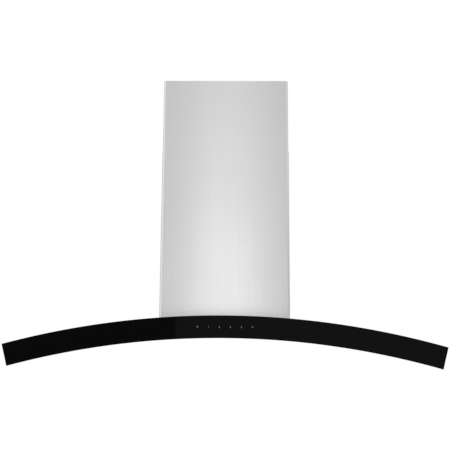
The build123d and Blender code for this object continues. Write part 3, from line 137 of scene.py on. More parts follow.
class HoodColours(PropertyGroup):
    """Colours of the finishes, under the names that the finishes have."""

    chimney_steel: colour("Chimney steel", "Brushed steel of the chimney", 0.48, 0.48, 0.477)
    canopy_steel: colour("Canopy steel", "Satin steel of the canopy", 0.62, 0.62, 0.615)
    filter_steel: colour("Filter steel", "Steel of the filters and their bays", 0.62, 0.62, 0.615)
    galvanised_steel: colour("Zinc", "Galvanised sheet of the blower and the brackets", 0.52, 0.53, 0.54)
    black_glass: colour("Black glass", "Painted glass of the front", 0.0006, 0.0006, 0.00065)
    mark_ink: colour("Mark ink", "Print of the touch marks", 0.17, 0.17, 0.17)
    black_plastic: colour("Black plastic", "Collar, flaps, carrier and gland", 0.035, 0.035, 0.037)
    grey_plastic: colour("Grey plastic", "Control box", 0.34, 0.35, 0.36)
    latch_plastic: colour("Latch plastic", "Filter latches", 0.10, 0.10, 0.105)
    black_rubber: colour("Rubber", "Bushes, grommet and cable", 0.022, 0.022, 0.022)
    tape_foam: colour("Tape", "Foam tape behind the glass", 0.018, 0.018, 0.018)
    motor_paint: colour("Motor paint", "Paint of the motor", 0.06, 0.06, 0.065)
    shaft_steel: colour("Shaft", "Ground steel of the motor's shaft", 0.6, 0.6, 0.6)
    screw_steel: colour("Screws", "Plated steel of the screws", 0.58, 0.58, 0.57)
    pad_metal: colour("Pads", "Plated metal of the touch pads", 0.66, 0.66, 0.68)
    lamp_metal: colour("Lamp metal", "Satin aluminium of the lamps", 0.74, 0.74, 0.74)
    lamp_lens: colour("Lens", "Frosted cover of the lamps", 0.90, 0.90, 0.88)
    diode: colour("Diode", "Phosphor face of the unlit diodes", 0.75, 0.62, 0.18)
    circuit_board: colour("Board", "Solder mask of the circuit boards", 0.03, 0.16, 0.07)
    studio_floor: colour("Floor", "Studio floor", 0.93, 0.93, 0.93)


class HoodStage(PropertyGroup):
    """Studio light, floor and camera."""

    floor_level: number("Floor level", "Height of the floor in the hood's frame", -1.84, unit="LENGTH")
    sky: number("Sky", "Strength of the light from all round", 0.92, min=0.0)
    strip_light: power("Strip light", "Power of the graded strip of lamps in front of the chimney", 2.7)
    left_light: power("Left light", "Power of the wide lamp that the chimney's left bend reflects", 9.0)
    right_light: power("Right light", "Power of the wide lamp that the chimney's right bend reflects", 5.0)
    glass_light: power("Glass light", "Power of the wide lamp that the glass reflects", 2.9)
    top_light: power("Top light", "Power of the weak lamp overhead", 6.0)
    camera_place: FloatVectorProperty(
        name="Camera place", description="Where the photograph was taken from",
        default=(0.00615, -1.7832, -0.18129), size=3, subtype="TRANSLATION", precision=5,
    )
    camera_turn: FloatVectorProperty(
        name="Camera turn", description="Pitch, yaw and roll of the camera",
        default=[math.radians(angle) for angle in (8.129, -0.819, 0.427)], size=3, subtype="EULER",
    )
    camera_lens: number("Camera lens", "Focal length in millimetres on a 36 mm frame", 50.967, min=1.0)
    camera_shift: number("Camera shift", "Sideways crop of the photograph, as a share of its width", 0.0141)


class HoodSettings(PropertyGroup):
    """All settings of the hood."""

    sizes: PointerProperty(type=HoodSizes)
    colours: PointerProperty(type=HoodColours)
    stage: PointerProperty(type=HoodStage)


def settings():
    """All settings of the scene's hood."""
    return bpy.context.scene.range_hood


def sizes():
    """The size settings."""
    return settings().sizes


def arch_centre():
    """The height of the arch's axis."""
    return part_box("front_glass")[1].z - sizes().arch_radius


def on_arch(angle, y=0.0, radius=0.0):
    """The place at an angle, a depth and a radius of the arch, with Z pointing away from its axis."""
    turn = Matrix.Rotation(angle, 4, "Y")
    return Matrix.Translation((0, 0, arch_centre())) @ turn @ Matrix.Translation((0, y, radius))


def middle(node):
    """The middle of a CAD node's box."""
    low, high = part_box(node)
    return (low + high) / 2


def arch_angle(node):
    """The angle on the arch at which a CAD node sits."""
    spot = middle(node)
    return math.atan2(spot.x, spot.z - arch_centre())


def arch_box(node):
    """The box of a CAD node in the turned frame of its place on the arch."""
    back = on_arch(arch_angle(node)).inverted()
    points = [back @ vertex.co for vertex in frame["nodes"][node].data.vertices]
    low = Vector([min(point[axis] for point in points) for axis in range(3)])
    high = Vector([max(point[axis] for point in points) for axis in range(3)])
    return low, high


class Nodes:
    """Ways to fill a node tree."""

    def __init__(self, tree):
        self.tree = tree

    def connect(self, value, socket):
        """Links a socket to another node's output, or sets its value."""
        if isinstance(value, bpy.types.NodeSocket):
            self.tree.links.new(value, socket)
        else:
            socket.default_value = value

    def feed(self, node, **inputs):
        """Links or sets a node's inputs by name, with underscores for spaces."""
        for label, value in inputs.items():
            name = label.replace("_", " ")
            socket = next(item for item in node.inputs if item.name == name and item.enabled)
            self.connect(value, socket)
        return node

    def add(self, kind, properties=None, **inputs):
        """A new node with its properties set and its inputs linked or set."""
        node = self.tree.nodes.new(kind)
        for name, value in (properties or {}).items():
            setattr(node, name, value)
        return self.feed(node, **inputs)

    def flow(self, kind, properties=None, **inputs):
        """The first output of a new node."""
        node = self.add(kind, properties, **inputs)
        return next(socket for socket in node.outputs if socket.enabled)

    def math(self, operation, first, second=0.0):
        """One sum of two values, or one function of the first."""
        node = self.add("ShaderNodeMath", {"operation": operation})
        for socket, value in zip(node.inputs, (first, second)):
            self.connect(value, socket)
        return node.outputs["Value"]


class Finish(Nodes):
    """One material: a shader and the textures that feed it, on object coordinates."""

    def __init__(self, name):
        self.material = bpy.data.materials.new(name)
        self.material.use_nodes = True
        super().__init__(self.material.node_tree)
        self.tree.nodes.clear()
        self.shader = self.add("ShaderNodeBsdfPrincipled")
        self.add("ShaderNodeOutputMaterial", Surface=self.shader.outputs["BSDF"])
        self.coordinates = self.add("ShaderNodeTexCoord").outputs["Object"]

    def stretched(self, density):
        """The object coordinates, scaled by one density or by one for each axis."""
        scale = density if isinstance(density, tuple) else (density,) * 3
        return self.flow("ShaderNodeMapping", Vector=self.coordinates, Scale=scale)

    def noise(self, density, detail=3.0, rough=0.55):
        """Cloudy grain."""
        spot = self.stretched(density)
        return self.flow("ShaderNodeTexNoise", Vector=spot, Scale=1.0, Detail=detail, Roughness=rough)

    def cells(self, density):
        """A shade for each cell of an irregular mosaic."""
        mosaic = self.add("ShaderNodeTexVoronoi", Vector=self.stretched(density), Scale=1.0)
        return self.flow("ShaderNodeSeparateColor", Color=mosaic.outputs["Color"])

    def span(self, factor, low, high, start=0.3, end=0.7):
        """A factor carried over from the usual range of a grain to another range."""
        return self.flow(
            "ShaderNodeMapRange", Value=factor, From_Min=start, From_Max=end, To_Min=low, To_Max=high,
        )

    def shades(self, factor, shade, dark, light):
        """A colour between a darker and a lighter shade of one tone."""
        mix = self.add("ShaderNodeMix", {"data_type": "RGBA"})
        sockets = [socket for socket in mix.inputs if socket.enabled]
        self.connect(factor, sockets[0])
        for socket, strength in zip(sockets[1:3], (dark, light)):
            socket.default_value = [min(1.0, channel * strength) for channel in shade] + [1.0]
        return next(socket for socket in mix.outputs if socket.enabled)

    def bump(self, height, strength, depth):
        """Fine relief on the shader's surface, with its depth in millimetres."""
        relief = self.flow("ShaderNodeBump", Height=height, Strength=strength, Distance=depth * MILLIMETRE)
        self.feed(self.shader, Normal=relief)

    def surface(self, **values):
        """Sets or links the shader's own sockets."""
        self.feed(self.shader, **values)
        return self.material


def brushed(name, shade, stretch, contrast, low, high):
    """Brushed sheet metal with its grain along the axis of least stretch."""
    finish = Finish(name)
    grain = finish.noise(stretch, 4.0, 0.6)
    cloud = finish.noise(5.0, 2.0, 0.5)
    finish.bump(grain, 0.05, 0.15)
    return finish.surface(
        Base_Color=finish.shades(grain, shade, 1.0 - contrast, 1.0 + contrast), Metallic=1.0,
        Roughness=finish.span(cloud, low, high),
    )


def galvanised(name, shade):
    """Zinc-coated sheet with its spangle."""
    finish = Finish(name)
    spangle = finish.cells(120.0)
    finish.bump(finish.noise(900.0), 0.04, 0.1)
    return finish.surface(
        Base_Color=finish.shades(spangle, shade, 0.82, 1.12), Metallic=0.9,
        Roughness=finish.span(spangle, 0.34, 0.52, 0.0, 1.0),
    )


def moulded(name, shade, rough, density=1400.0):
    """Moulded plastic with a fine spark-eroded texture."""
    finish = Finish(name)
    grain = finish.noise(density, 2.0)
    finish.bump(grain, 0.12, 0.08)
    return finish.surface(
        Base_Color=finish.shades(finish.noise(30.0), shade, 0.85, 1.15),
        Roughness=finish.span(grain, rough - 0.08, rough + 0.08),
    )


def circuit(name, shade):
    """Solder mask over copper tracks."""
    finish = Finish(name)
    tracks = finish.cells(260.0)
    finish.bump(tracks, 0.1, 0.05)
    return finish.surface(
        Base_Color=finish.shades(tracks, shade, 0.7, 1.35),
        Roughness=finish.span(finish.noise(500.0, 2.0), 0.3, 0.45),
    )


def grained(name, shade, texture, tones, gloss, relief=None, extra=None):
    """A finish whose shade, gloss and relief follow one grain, with extra values for its shader."""
    finish = Finish(name)
    grain = finish.noise(*texture)
    if relief:
        finish.bump(grain, *relief)
    return finish.surface(
        Base_Color=finish.shades(grain, shade, *tones), Roughness=finish.span(grain, *gloss), **(extra or {}),
    )


def bright_metal(name, shade, low, high, density=700.0):
    """Turned or plated metal with faint tool marks."""
    return grained(name, shade, (density, 3.0), (0.9, 1.08), (low, high), (0.05, 0.05), {"Metallic": 1.0})


# How each finish is made, and with what values after its name and colour.
FINISHES = {
    "chimney_steel": (brushed, (450.0, 450.0, 4.0), 0.04, 0.235, 0.265),
    "canopy_steel": (brushed, (4.0, 320.0, 20.0), 0.14, 0.32, 0.42),
    "filter_steel": (brushed, (320.0, 4.0, 320.0), 0.14, 0.28, 0.37),
    "galvanised_steel": (galvanised,),
    "circuit_board": (circuit,),
    "shaft_steel": (bright_metal, 0.18, 0.3, (60.0, 900.0, 60.0)),
    "screw_steel": (bright_metal, 0.22, 0.36),
    "lamp_metal": (bright_metal, 0.26, 0.36),
    "pad_metal": (bright_metal, 0.35, 0.5),
    "black_rubber": (moulded, 0.7, 700.0),
    "tape_foam": (moulded, 0.8, 900.0),
    "black_plastic": (moulded, 0.45),
    "grey_plastic": (moulded, 0.5),
    "latch_plastic": (moulded, 0.42),
    "black_glass": (grained, (14.0, 3.0), (0.8, 1.2), (0.03, 0.06), None, {"Specular_IOR_Level": 0.031}),
    "mark_ink": (
        grained, (5000.0, 1.0), (0.9, 1.1), (0.5, 0.7, 0.0, 1.0), None, {"Specular_IOR_Level": 0.05},
    ),
    "motor_paint": (grained, (350.0, 1.0), (0.9, 1.1), (0.3, 0.42), (0.15, 0.1), {"Coat_Weight": 0.2}),
    "lamp_lens": (
        grained, (1800.0, 2.0), (0.96, 1.02), (0.4, 0.55), (0.2, 0.05), {"Transmission_Weight": 0.35},
    ),
    "diode": (grained, (2500.0, 1.0), (0.9, 1.1), (0.25, 0.4, 0.0, 1.0)),
    "studio_floor": (
        grained, (1.5, 2.0), (0.99, 1.01), (0.75, 0.85, 0.0, 1.0), None, {"Specular_IOR_Level": 0.2},
    ),
}


def finish_for(slot):
    """The material of a slot, made on first use."""
    name = slot + "_finish"
    if name in bpy.data.materials:
        return bpy.data.materials[name]
    maker, *values = FINISHES[slot]
    return maker(name, getattr(settings().colours, slot), *values)


def linked(name, data):
    """A new object in the scene, with its data named like it."""
    data.name = name
    made = bpy.data.objects.new(name, data)
    bpy.context.scene.collection.objects.link(made)
    return made


def evaluated_mesh(piece):
    """A plain mesh of a piece with its modifiers done."""
    graph = bpy.context.evaluated_depsgraph_get()
    return bpy.data.meshes.new_from_object(piece.evaluated_get(graph), depsgraph=graph)


def place(name, mesh, slot, body, finish=None):
    """Puts a mesh in the scene with the material of its slot or finish, on its body."""
    mesh.materials.clear()
    mesh.materials.append(finish_for(finish or slot))
    piece = linked(name, mesh)
    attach(piece, body)
    return piece


def softened(piece, width):
    """Rounds the sharp edges of a piece."""
    bevel = piece.modifiers.new("Edges", "BEVEL")
    bevel.width = width
    bevel.segments = 2
    bevel.limit_method = "ANGLE"
    bevel.angle_limit = SHARP_ANGLE
    bevel.harden_normals = True


def stand_in(name, mesh, node, edge=0.0):
    """Puts a mesh in the place of a CAD node, with rounded edges and even shading."""
    piece = place(name, mesh, NODE_SLOT[node], NODE_BODY[node])
    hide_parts(node)
    if edge:
        softened(piece, edge)
    piece.modifiers.new("Even shading", "WEIGHTED_NORMAL").keep_sharp = True
    return piece


def smoothed(mesh):
    """Shades a mesh smooth, apart from its sharp edges."""
    mesh.shade_smooth()
    mesh.set_sharp_from_angle(angle=SHARP_ANGLE)
    return mesh


def mesh_of(shape):
    """Turns a bmesh into a plain mesh."""
    mesh = bpy.data.meshes.new("piece")
    shape.to_mesh(mesh)
    shape.free()
    return mesh


def cleaned(shape):
    """Merges a shape's doubled points and removes faces without area."""
    bmesh.ops.remove_doubles(shape, verts=shape.verts, dist=SAME_POINT)
    bmesh.ops.dissolve_degenerate(shape, edges=shape.edges, dist=SAME_POINT)


def merged_copy(node):
    """The shape of a CAD node with its triangles joined into whole faces."""
    source = frame["nodes"][node].data
    shape = bmesh.new()
    corners = [shape.verts.new(vertex.co) for vertex in source.vertices]
    for polygon in source.polygons:
        shape.faces.new([corners[index] for index in polygon.vertices])
    cleaned(shape)
    bmesh.ops.dissolve_limit(shape, angle_limit=FLAT_ANGLE, verts=shape.verts, edges=shape.edges)
    return shape


def dressed(node, name, edge=0.0):
    """A finished copy of a CAD node: whole faces, even shading and rounded edges."""
    return stand_in(name, smoothed(mesh_of(merged_copy(node))), node, edge)


def skinned(rings, closed):
    """A shape through rings of points, closed on itself or capped at both ends."""
    shape = bmesh.new()
    rows = [[shape.verts.new(point) for point in ring] for ring in rings]
    after_rows = rows[1:] + rows[:1] if closed else rows[1:]
    for row, following in zip(rows, after_rows):
        for index in range(len(row)):
            after = (index + 1) % len(row)
            shape.faces.new((row[index], following[index], following[after], row[after]))
    if not closed:
        shape.faces.new(rows[0])
        shape.faces.new(rows[-1])
    return shape


def turned(profile, steps, spot):
    """A closed profile of radius and height, turned round the Z axis of a place."""
    rings = []
    for step in range(steps):
        angle = FULL_TURN * step / steps
        points = [Vector((radius * math.cos(angle), radius * math.sin(angle), z)) for radius, z in profile]
        rings.append([spot @ point for point in points])
    shape = skinned(rings, True)
    cleaned(shape)
    bmesh.ops.recalc_face_normals(shape, faces=shape.faces)
    return smoothed(mesh_of(shape))


def arc_points(centre_x, centre_y, radius, start, end, steps):
    """Points of a flat arc, between two angles in degrees."""
    points = []
    for step in range(steps + 1):
        angle = math.radians(start + (end - start) * step / steps)
        points.append((centre_x + radius * math.cos(angle), centre_y + radius * math.sin(angle)))
    return points


class Pattern(Nodes):
    """A Geometry Nodes tree with named inputs, which ends in realised copies with a material."""

    socket_kinds = {
        int: "NodeSocketInt", float: "NodeSocketFloat",
        bpy.types.Object: "NodeSocketObject", bpy.types.Material: "NodeSocketMaterial",
    }

    def __init__(self, name, **inputs):
        super().__init__(bpy.data.node_groups.new(name, "GeometryNodeTree"))
        self.tree.is_modifier = True
        interface = self.tree.interface
        interface.new_socket("Geometry", in_out="OUTPUT", socket_type="NodeSocketGeometry")
        interface.new_socket("Geometry", in_out="INPUT", socket_type="NodeSocketGeometry")
        self.values = {}
        for label, value in inputs.items():
            kind = self.socket_kinds[type(value)]
            socket = interface.new_socket(label.replace("_", " "), in_out="INPUT", socket_type=kind)
            self.values[socket.identifier] = value
        self.source = self.add("NodeGroupInput")

    def __getitem__(self, label):
        """The socket of a named input."""
        return self.source.outputs[label]

    def times(self, first, second):
        """Two values multiplied."""
        return self.math("MULTIPLY", first, second)

    def vector(self, x=0.0, y=0.0, z=0.0):
        """A vector from three values."""
        return self.flow("ShaderNodeCombineXYZ", X=x, Y=y, Z=z)

    def sheet(self, curve, run, thickness):
        """A closed sheet: a curve drawn out along a run and given a thickness."""
        line = self.flow("GeometryNodeCurveToMesh", Curve=curve)
        strip = self.flow(
            "GeometryNodeExtrudeMesh", {"mode": "EDGES"}, Mesh=line, Offset=run, Offset_Scale=1.0,
        )
        under = self.flow("GeometryNodeFlipFaces", Mesh=strip)
        raised = self.flow(
            "GeometryNodeExtrudeMesh", {"mode": "FACES"}, Mesh=strip,
            Offset_Scale=thickness, Individual=False,
        )
        join = self.add("GeometryNodeJoinGeometry")
        for part in (under, raised):
            self.feed(join, Geometry=part)
        both = join.outputs["Geometry"]
        return self.flow("GeometryNodeMergeByDistance", Geometry=both, Distance=SAME_POINT)

    def grow(self, name, carrier=None, **copies):
        """Copies an instance onto points and returns the result, grown on a carrier, as a plain mesh."""
        instances = self.flow("GeometryNodeInstanceOnPoints", **copies)
        real = self.flow("GeometryNodeRealizeInstances", Geometry=instances)
        painted = self.flow("GeometryNodeSetMaterial", Geometry=real, Material=self["Material"])
        self.add("NodeGroupOutput", Geometry=painted)
        holder = linked(name + "_carrier", carrier or bpy.data.meshes.new("carrier"))
        modifier = holder.modifiers.new(name, "NODES")
        modifier.node_group = self.tree
        for identifier, value in self.values.items():
            modifier[identifier] = value
        mesh = evaluated_mesh(holder)
        holder.modifiers.remove(modifier)
        bpy.data.objects.remove(holder)
        return mesh


def slat_row(name, count, row_length, material):
    """A row of U-shaped baffles that run along Y, centred on X and standing on Z = 0."""
    size = sizes()
    pattern = Pattern(
        "Baffle row", Count=count, Length=row_length, Width=size.slat_width, Height=size.slat_height,
        Sheet=size.slat_sheet, Pitch=size.slat_pitch, Bend=size.slat_bend, Material=material,
    )
    half = pattern.times(pattern["Width"], 0.5)
    left = pattern.times(half, -1.0)
    section = pattern.flow(
        "GeometryNodeCurvePrimitiveQuadrilateral", {"mode": "POINTS"},
        Point_1=pattern.vector(left, z=pattern["Height"]), Point_2=pattern.vector(left),
        Point_3=pattern.vector(half), Point_4=pattern.vector(half, z=pattern["Height"]),
    )
    opened = pattern.flow("GeometryNodeSetSplineCyclic", Geometry=section, Cyclic=False)
    bent = pattern.flow(
        "GeometryNodeFilletCurve", {"mode": "POLY"}, Curve=opened, Radius=pattern["Bend"],
        Count=5, Limit_Radius=True,
    )
    slat = pattern.sheet(bent, pattern.vector(y=pattern["Length"]), pattern["Sheet"])
    reach = pattern.times(pattern.math("SUBTRACT", pattern["Count"], 1.0), pattern["Pitch"])
    row = pattern.flow(
        "GeometryNodeMeshLine", {"mode": "OFFSET"}, Count=pattern["Count"],
        Start_Location=pattern.vector(pattern.times(reach, -0.5)), Offset=pattern.vector(pattern["Pitch"]),
    )
    return pattern.grow(name, Points=row, Instance=slat)


def joined(*meshes):
    """Closed meshes as one, with every face turned outwards."""
    shape = bmesh.new()
    for mesh in meshes:
        shape.from_mesh(mesh)
        bpy.data.meshes.remove(mesh)
    bmesh.ops.recalc_face_normals(shape, faces=shape.faces)
    return mesh_of(shape)


def thickened(shape, offset):
    """Gives flat faces a thickness, in the direction and amount of an offset."""
    raised = bmesh.ops.extrude_face_region(shape, geom=shape.faces[:])
    moved = [item for item in raised["geom"] if isinstance(item, bmesh.types.BMVert)]
    bmesh.ops.translate(shape, verts=moved, vec=Vector(offset))
    bmesh.ops.recalc_face_normals(shape, faces=shape.faces)


def cross_prism(reach, half_width, bottom, top):
    """A cross-shaped prism along Z."""
    corners = []
    for quarter in range(4):
        turn = Matrix.Rotation(quarter * QUARTER_TURN, 4, "Z")
        for x, y in ((reach, -half_width), (reach, half_width), (half_width, half_width)):
            corners.append(turn @ Vector((x, y, bottom)))
    shape = bmesh.new()
    shape.faces.new([shape.verts.new(corner) for corner in corners])
    thickened(shape, (0, 0, top - bottom))
    return mesh_of(shape)


# Radius and height along a screw head's outline, as shares of the head's own.
PAN_HEAD = ((1.0, 0.0), (1.0, 0.35), (0.94, 0.66), (0.8, 0.88), (0.6, 1.0), (0.0, 1.0))


def cross_head_screw():
    """One pan head screw with a cross recess, seated on Z = 0."""
    size = sizes()
    head, rise, shank, reach = size.screw_head, size.screw_head_height, size.screw_shank, size.screw_length
    tip_radius, tip_height = 0.7 * shank, 0.4 * shank
    profile = [(0.0, -reach), (tip_radius, -reach), (shank, tip_height - reach), (shank, 0.0)]
    profile += [(radius * head, height * rise) for radius, height in PAN_HEAD]
    half_step = Matrix.Rotation(FULL_TURN / SCREW_STEPS / 2, 4, "Z")
    body = linked("screw_blank", turned(profile, SCREW_STEPS, half_step))
    recess_reach, recess_half_width = 0.55 * head, 0.13 * head
    recess_floor, recess_top = 0.3 * rise, 1.7 * rise
    prism = cross_prism(recess_reach, recess_half_width, recess_floor, recess_top)
    cutter = linked("screw_cutter", prism)
    cut = body.modifiers.new("Recess", "BOOLEAN")
    cut.object = cutter
    cut.solver = "EXACT"
    mesh = evaluated_mesh(body)
    for piece in (body, cutter):
        bpy.data.objects.remove(piece)
    return smoothed(mesh)


def islands(shape):
    """The separate solids of a shape, each as a list of its vertices."""
    left = set(shape.verts)
    found = []
    while left:
        group = [left.pop()]
        for vertex in group:
            for edge in vertex.link_edges:
                other = edge.other_vert(vertex)
                if other in left:
                    left.remove(other)
                    group.append(other)
        found.append(group)
    return found


def away_from_axis(point):
    """The direction away from the arch's axis."""
    return Vector((point.x, 0.0, point.z - arch_centre())).normalized()


FRONT, REAR, UP = Vector((0, -1, 0)), Vector((0, 1, 0)), Vector((0, 0, 1))
# The way that the heads of each set of screws face, from the place of a screw.
SCREW_FACING = {
    "pan_screws": lambda point: -away_from_axis(point),
    "box_screws": away_from_axis,
    "chimney_screws": away_from_axis,
    "cover_screws": lambda point: FRONT,
    "lid_screws": lambda point: FRONT,
    "collar_screws": lambda point: UP,
    "bracket_screws": lambda point: Vector((math.copysign(1, point.x), 0, 0)),
    "motor_screws": lambda point: REAR,
}


def screw_seats(node):
    """A mesh of points where the heads of a set of screws sit, with the way that each one faces."""
    seats, facings = [], []
    shape = merged_copy(node)
    for group in islands(shape):
        heart = sum((vertex.co for vertex in group), Vector()) / len(group)
        facing = SCREW_FACING[node](heart)
        top = max(vertex.co.dot(facing) for vertex in group)
        seats.append(heart + facing * (top - heart.dot(facing) - sizes().screw_head_height))
        facings.append(facing)
    shape.free()
    points = bpy.data.meshes.new(node + "_seats")
    points.from_pydata(seats, [], [])
    attribute = points.attributes.new("facing", "FLOAT_VECTOR", "POINT")
    attribute.data.foreach_set("vector", [value for facing in facings for value in facing])
    return points


def screw_set(node, screw):
    """One set of like screws, each on its seat."""
    pattern = Pattern("Screws", Screw=screw, Material=finish_for("screw_steel"))
    facing = pattern.flow("GeometryNodeInputNamedAttribute", {"data_type": "FLOAT_VECTOR"}, Name="facing")
    turn = pattern.flow("FunctionNodeAlignRotationToVector", {"axis": "Z"}, Vector=facing)
    shape = pattern.add("GeometryNodeObjectInfo", Object=pattern["Screw"]).outputs["Geometry"]
    return pattern.grow(node, screw_seats(node), Points=pattern["Geometry"], Instance=shape, Rotation=turn)


def blade_ring(name, inner, outer, blade_length, material):
    """A ring of forward-curved blades round the Z axis, centred on Z = 0."""
    size = sizes()
    pattern = Pattern(
        "Wheel blades", Blades=size.blade_count, Length=blade_length, Sheet=size.blade_sheet,
        Inner_radius=inner, Outer_radius=outer, Sweep=math.radians(6.0), Belly=0.034, Material=material,
    )
    inner_radius, outer_radius = pattern["Inner radius"], pattern["Outer radius"]
    start = pattern.times(pattern["Length"], -0.5)
    middle_radius = pattern.times(pattern.math("ADD", inner_radius, outer_radius), 0.5)
    stations = {
        "Start": (inner_radius, pattern.times(pattern["Sweep"], -1.0)),
        "Middle": (middle_radius, pattern.times(pattern["Belly"], -1.0)),
        "End": (outer_radius, pattern["Sweep"]),
    }
    spots = {}
    for label, (radius, angle) in stations.items():
        x = pattern.times(radius, pattern.math("COSINE", angle))
        y = pattern.times(radius, pattern.math("SINE", angle))
        spots[label] = pattern.vector(x, y, start)
    arc = pattern.flow("GeometryNodeCurveArc", {"mode": "POINTS"}, Resolution=9, **spots)
    blade = pattern.sheet(arc, pattern.vector(z=pattern["Length"]), pattern["Sheet"])
    spokes = pattern.flow("GeometryNodePoints", Count=pattern["Blades"])
    step = pattern.math("DIVIDE", FULL_TURN, pattern["Blades"])
    angle = pattern.times(pattern.flow("GeometryNodeInputIndex"), step)
    return pattern.grow(name, Points=spokes, Instance=blade, Rotation=pattern.vector(z=angle))


def diode_ring(name, ring_radius, diode, material):
    """A ring of diodes round the Z axis, hanging below Z = 0."""
    pattern = Pattern(
        "Lamp diodes", Diodes=sizes().diode_count, Ring_radius=ring_radius, Width=diode, Material=material,
    )
    height = pattern.times(pattern["Width"], 0.3)
    block = pattern.vector(pattern["Width"], pattern["Width"], height)
    cube = pattern.flow("GeometryNodeMeshCube", Size=block)
    drop = pattern.vector(z=pattern.times(height, -0.5))
    hung = pattern.flow("GeometryNodeTransform", Geometry=cube, Translation=drop)
    ring = pattern.flow(
        "GeometryNodeMeshCircle", Vertices=pattern["Diodes"], Radius=pattern["Ring radius"],
    )
    return pattern.grow(name, Points=ring, Instance=hung)


def glass_mesh():
    """The arched glass strip with a polished arris all round."""
    size = sizes()
    low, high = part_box("front_glass")
    end = math.asin(high.x / size.arch_radius)
    angles = [end * (2 * step / GLASS_STEPS - 1) for step in range(GLASS_STEPS + 1)]
    outer, inner = size.arch_radius, size.arch_radius - size.glass_height
    section = ((low.y, inner), (low.y, outer), (high.y, outer), (high.y, inner))
    shape = skinned([[on_arch(angle, *spot) @ Vector() for spot in section] for angle in angles], False)
    bmesh.ops.recalc_face_normals(shape, faces=shape.faces)
    sharp = [edge for edge in shape.edges if edge.calc_face_angle() > SHARP_ANGLE]
    bmesh.ops.bevel(
        shape, geom=sharp, offset=size.glass_arris, segments=3, profile=0.5,
        affect="EDGES", clamp_overlap=True,
    )
    return smoothed(mesh_of(shape))


def band(shape, centre, outer, start, end, steps=28):
    """A flat stroke round a centre in the XZ plane, between two angles in degrees."""
    inner = outer - sizes().mark_stroke
    arcs = [arc_points(centre.x, centre.z, radius, start, end, steps) for radius in (inner, outer)]
    near, far = [[shape.verts.new((x, centre.y, z)) for x, z in arc] for arc in arcs]
    for step in range(steps):
        shape.faces.new((near[step], far[step], far[step + 1], near[step + 1]))


def upright(shape, centre, bottom, top):
    """A flat upright stroke in the XZ plane, between two heights over a centre."""
    half = sizes().mark_stroke / 2
    corners = ((half, bottom), (half, top), (-half, top), (-half, bottom))
    shape.faces.new([shape.verts.new(centre + Vector((x, 0.0, z))) for x, z in corners])


def power_mark(shape, centre):
    """The usual on and off sign: an open ring and a bar."""
    radius = sizes().mark_height / 2
    band(shape, centre, radius, 125, 415)
    bar_bottom, bar_top = radius * 0.1, radius * 1.12
    upright(shape, centre, bar_bottom, bar_top)


def stroke_mark(shape, centre):
    """A plain upright stroke."""
    reach = sizes().mark_height / 2
    upright(shape, centre, -reach, reach)


def pointer_mark(shape, centre):
    """A slim triangle with its point up."""
    height = sizes().mark_height
    corners = ((-0.28, -0.54), (0.28, -0.54), (0.0, 0.70))
    shape.faces.new([shape.verts.new(centre + Vector((x, 0, z)) * height) for x, z in corners])


def lamp_mark(shape, centre):
    """A lamp sign: a round bulb that hangs from its lead."""
    height = sizes().mark_height
    radius, lift = height * 0.425, height * 0.02
    heart = centre + Vector((0, 0, lift))
    band(shape, heart, radius, 0, 360)
    lead_bottom, lead_top = radius * 1.05, radius * 1.6
    upright(shape, heart, lead_bottom, lead_top)


MARKS = (power_mark, stroke_mark, pointer_mark, pointer_mark, pointer_mark, lamp_mark)


def mark_sheet():
    """All the touch marks as one thin print, given its thickness towards the front."""
    size = sizes()
    low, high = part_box("front_glass")
    level = high.z - size.glass_height / 2 - size.mark_drop
    start = size.mark_shift - (len(MARKS) - 1) / 2 * size.mark_pitch
    print_thickness = 0.05 * MILLIMETRE
    shape = bmesh.new()
    for index, mark in enumerate(MARKS):
        mark(shape, Vector((start + index * size.mark_pitch, low.y, level)))
    bmesh.ops.remove_doubles(shape, verts=shape.verts, dist=SAME_POINT)
    thickened(shape, (0, -print_thickness, 0))
    return mesh_of(shape)


class HOOD_OT_front_glass(Operator):
    """Make the arched front glass with its polished edge, and the tape behind it."""

    bl_idname = "range_hood.front_glass"
    bl_label = "Front Glass"

    def execute(self, context):
        stand_in("front_glass_strip", glass_mesh(), "front_glass")
        dressed("glass_tape", "glass_bonding_tape")
        return {"FINISHED"}


class HOOD_OT_touch_marks(Operator):
    """Print the six touch marks on the glass."""

    bl_idname = "range_hood.touch_marks"
    bl_label = "Touch Marks"

    def execute(self, context):
        place("touch_mark_print", mark_sheet(), "pad_metal", "hood", "mark_ink")
        return {"FINISHED"}


class HOOD_OT_chimney(Operator):
    """Make the two chimney covers."""

    bl_idname = "range_hood.chimney"
    bl_label = "Chimney"

    def execute(self, context):
        for node in ("lower_chimney", "upper_chimney"):
            dressed(node, node + "_cover")
        return {"FINISHED"}


class HOOD_OT_canopy(Operator):
    """Make the canopy, its underpan and the filter bays."""

    bl_idname = "range_hood.canopy"
    bl_label = "Canopy"

    def execute(self, context):
        dressed("canopy_shell", "canopy_folded_shell")
        dressed("canopy_underpan", "canopy_pan")
        for side in SIDES:
            dressed(side + "_filter_bay", side + "_bay_frame")
        return {"FINISHED"}


